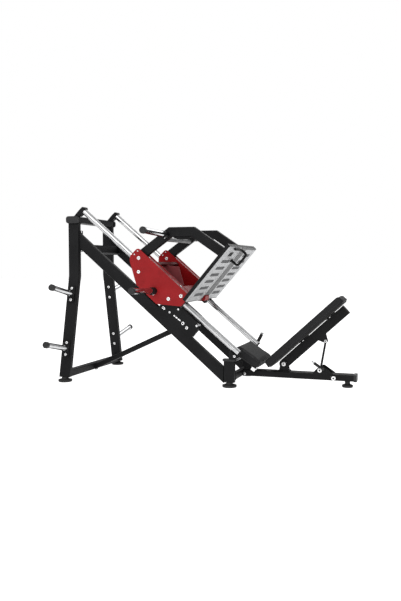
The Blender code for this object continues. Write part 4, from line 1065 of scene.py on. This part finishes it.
def studio():
    """White paper floor and backdrop, soft lights on three sides, and the camera."""
    scene = bpy.context.scene
    scene.view_settings.view_transform = "Standard"
    softbox("key_light", (-1.6, -4.0, 2.9), 3.4, 2.4, 98)
    softbox("front_fill", (1.8, -5.2, 0.9), 3.0, 1.8, 40)
    softbox("rear_light", (0.6, 3.6, 2.8), 3.0, 2.0, 46)

    world = bpy.data.worlds.new("studio")
    scene.world = world
    world.use_nodes = True
    tree = world.node_tree
    tree.nodes.clear()
    add, link = tree.nodes.new, tree.links.new
    direction = add("ShaderNodeTexCoord")
    split = add("ShaderNodeSeparateXYZ")
    ramp = add("ShaderNodeValToRGB")
    tones = ((0.50, (0.30, 0.30, 0.31, 1)), (0.80, (0.78, 0.78, 0.78, 1)))
    for element, (position, tone) in zip(ramp.color_ramp.elements, tones):
        element.position = position
        element.color = tone
    lift = add("ShaderNodeMapRange")
    lift.inputs["From Min"].default_value = -1
    link(direction.outputs["Generated"], split.inputs[0])
    link(split.outputs["Z"], lift.inputs["Value"])
    link(lift.outputs["Result"], ramp.inputs["Fac"])
    lighting = add("ShaderNodeBackground")
    link(ramp.outputs["Color"], lighting.inputs["Color"])
    paper = add("ShaderNodeBackground")
    paper.inputs["Color"].default_value = (1, 1, 1, 1)
    rays = add("ShaderNodeLightPath")
    mixed = add("ShaderNodeMixShader")
    out = add("ShaderNodeOutputWorld")
    link(rays.outputs["Is Camera Ray"], mixed.inputs[0])
    link(lighting.outputs[0], mixed.inputs[1])
    link(paper.outputs[0], mixed.inputs[2])
    link(mixed.outputs[0], out.inputs["Surface"])

    reach, level = 30.0, CAD_LOW.z - 0.0004
    corners = ((-reach, -reach), (reach, -reach), (reach, reach), (-reach, reach))
    data = bpy.data.meshes.new("floor")
    data.from_pydata([(x, y, level) for x, y in corners], [], [(0, 1, 2, 3)])
    floor = placed("floor", data)
    made = Nodes("paper_floor", 0.9, 0.0, 0.1)
    made.colour(made.blend(made.noise(3.0), (0.52, 0.52, 0.52), (0.55, 0.55, 0.55)))
    made.shader.inputs["Emission Color"].default_value = (1, 1, 1, 1)
    made.shader.inputs["Emission Strength"].default_value = 0.94
    data.materials.append(made.material)

    camera = placed("camera", bpy.data.cameras.new("camera"))
    camera.data.sensor_width = 36
    camera.data.lens = 39.31
    camera.data.clip_start, camera.data.clip_end = 0.05, 200
    azimuth, pitch = math.radians(18.83), math.radians(3.21)
    level_aim = math.cos(pitch) * Vector((-math.sin(azimuth), math.cos(azimuth), 0))
    aim = level_aim - math.sin(pitch) * Z_AXIS
    spot = Vector((CAD_LOW.x + 2.914, -5.3359, 0.9926))
    look_at(camera, spot, spot + aim)
    scene.camera = camera


# --- build
dress_frame()
dress_carriage()
dress_horns()
TUBE_ROUNDING, PLATE_ROUNDING = 0.0012, 0.0008
for node_name in NODES:
    if node_name not in ("seat_pad", "back_pad"):
        soften(node_name, PLATE_ROUNDING if "plate" in node_name or "catch" in node_name else TUBE_ROUNDING)
carriage_bolts()
frame_bolts()
backrest_bolts()
foot_plate_details()
carriage_details()
frame_welds()
back_tube_cap()
safety_handle_details()
adjuster_lever_details()
stop_details()
seat_brackets()
pads()
studio()
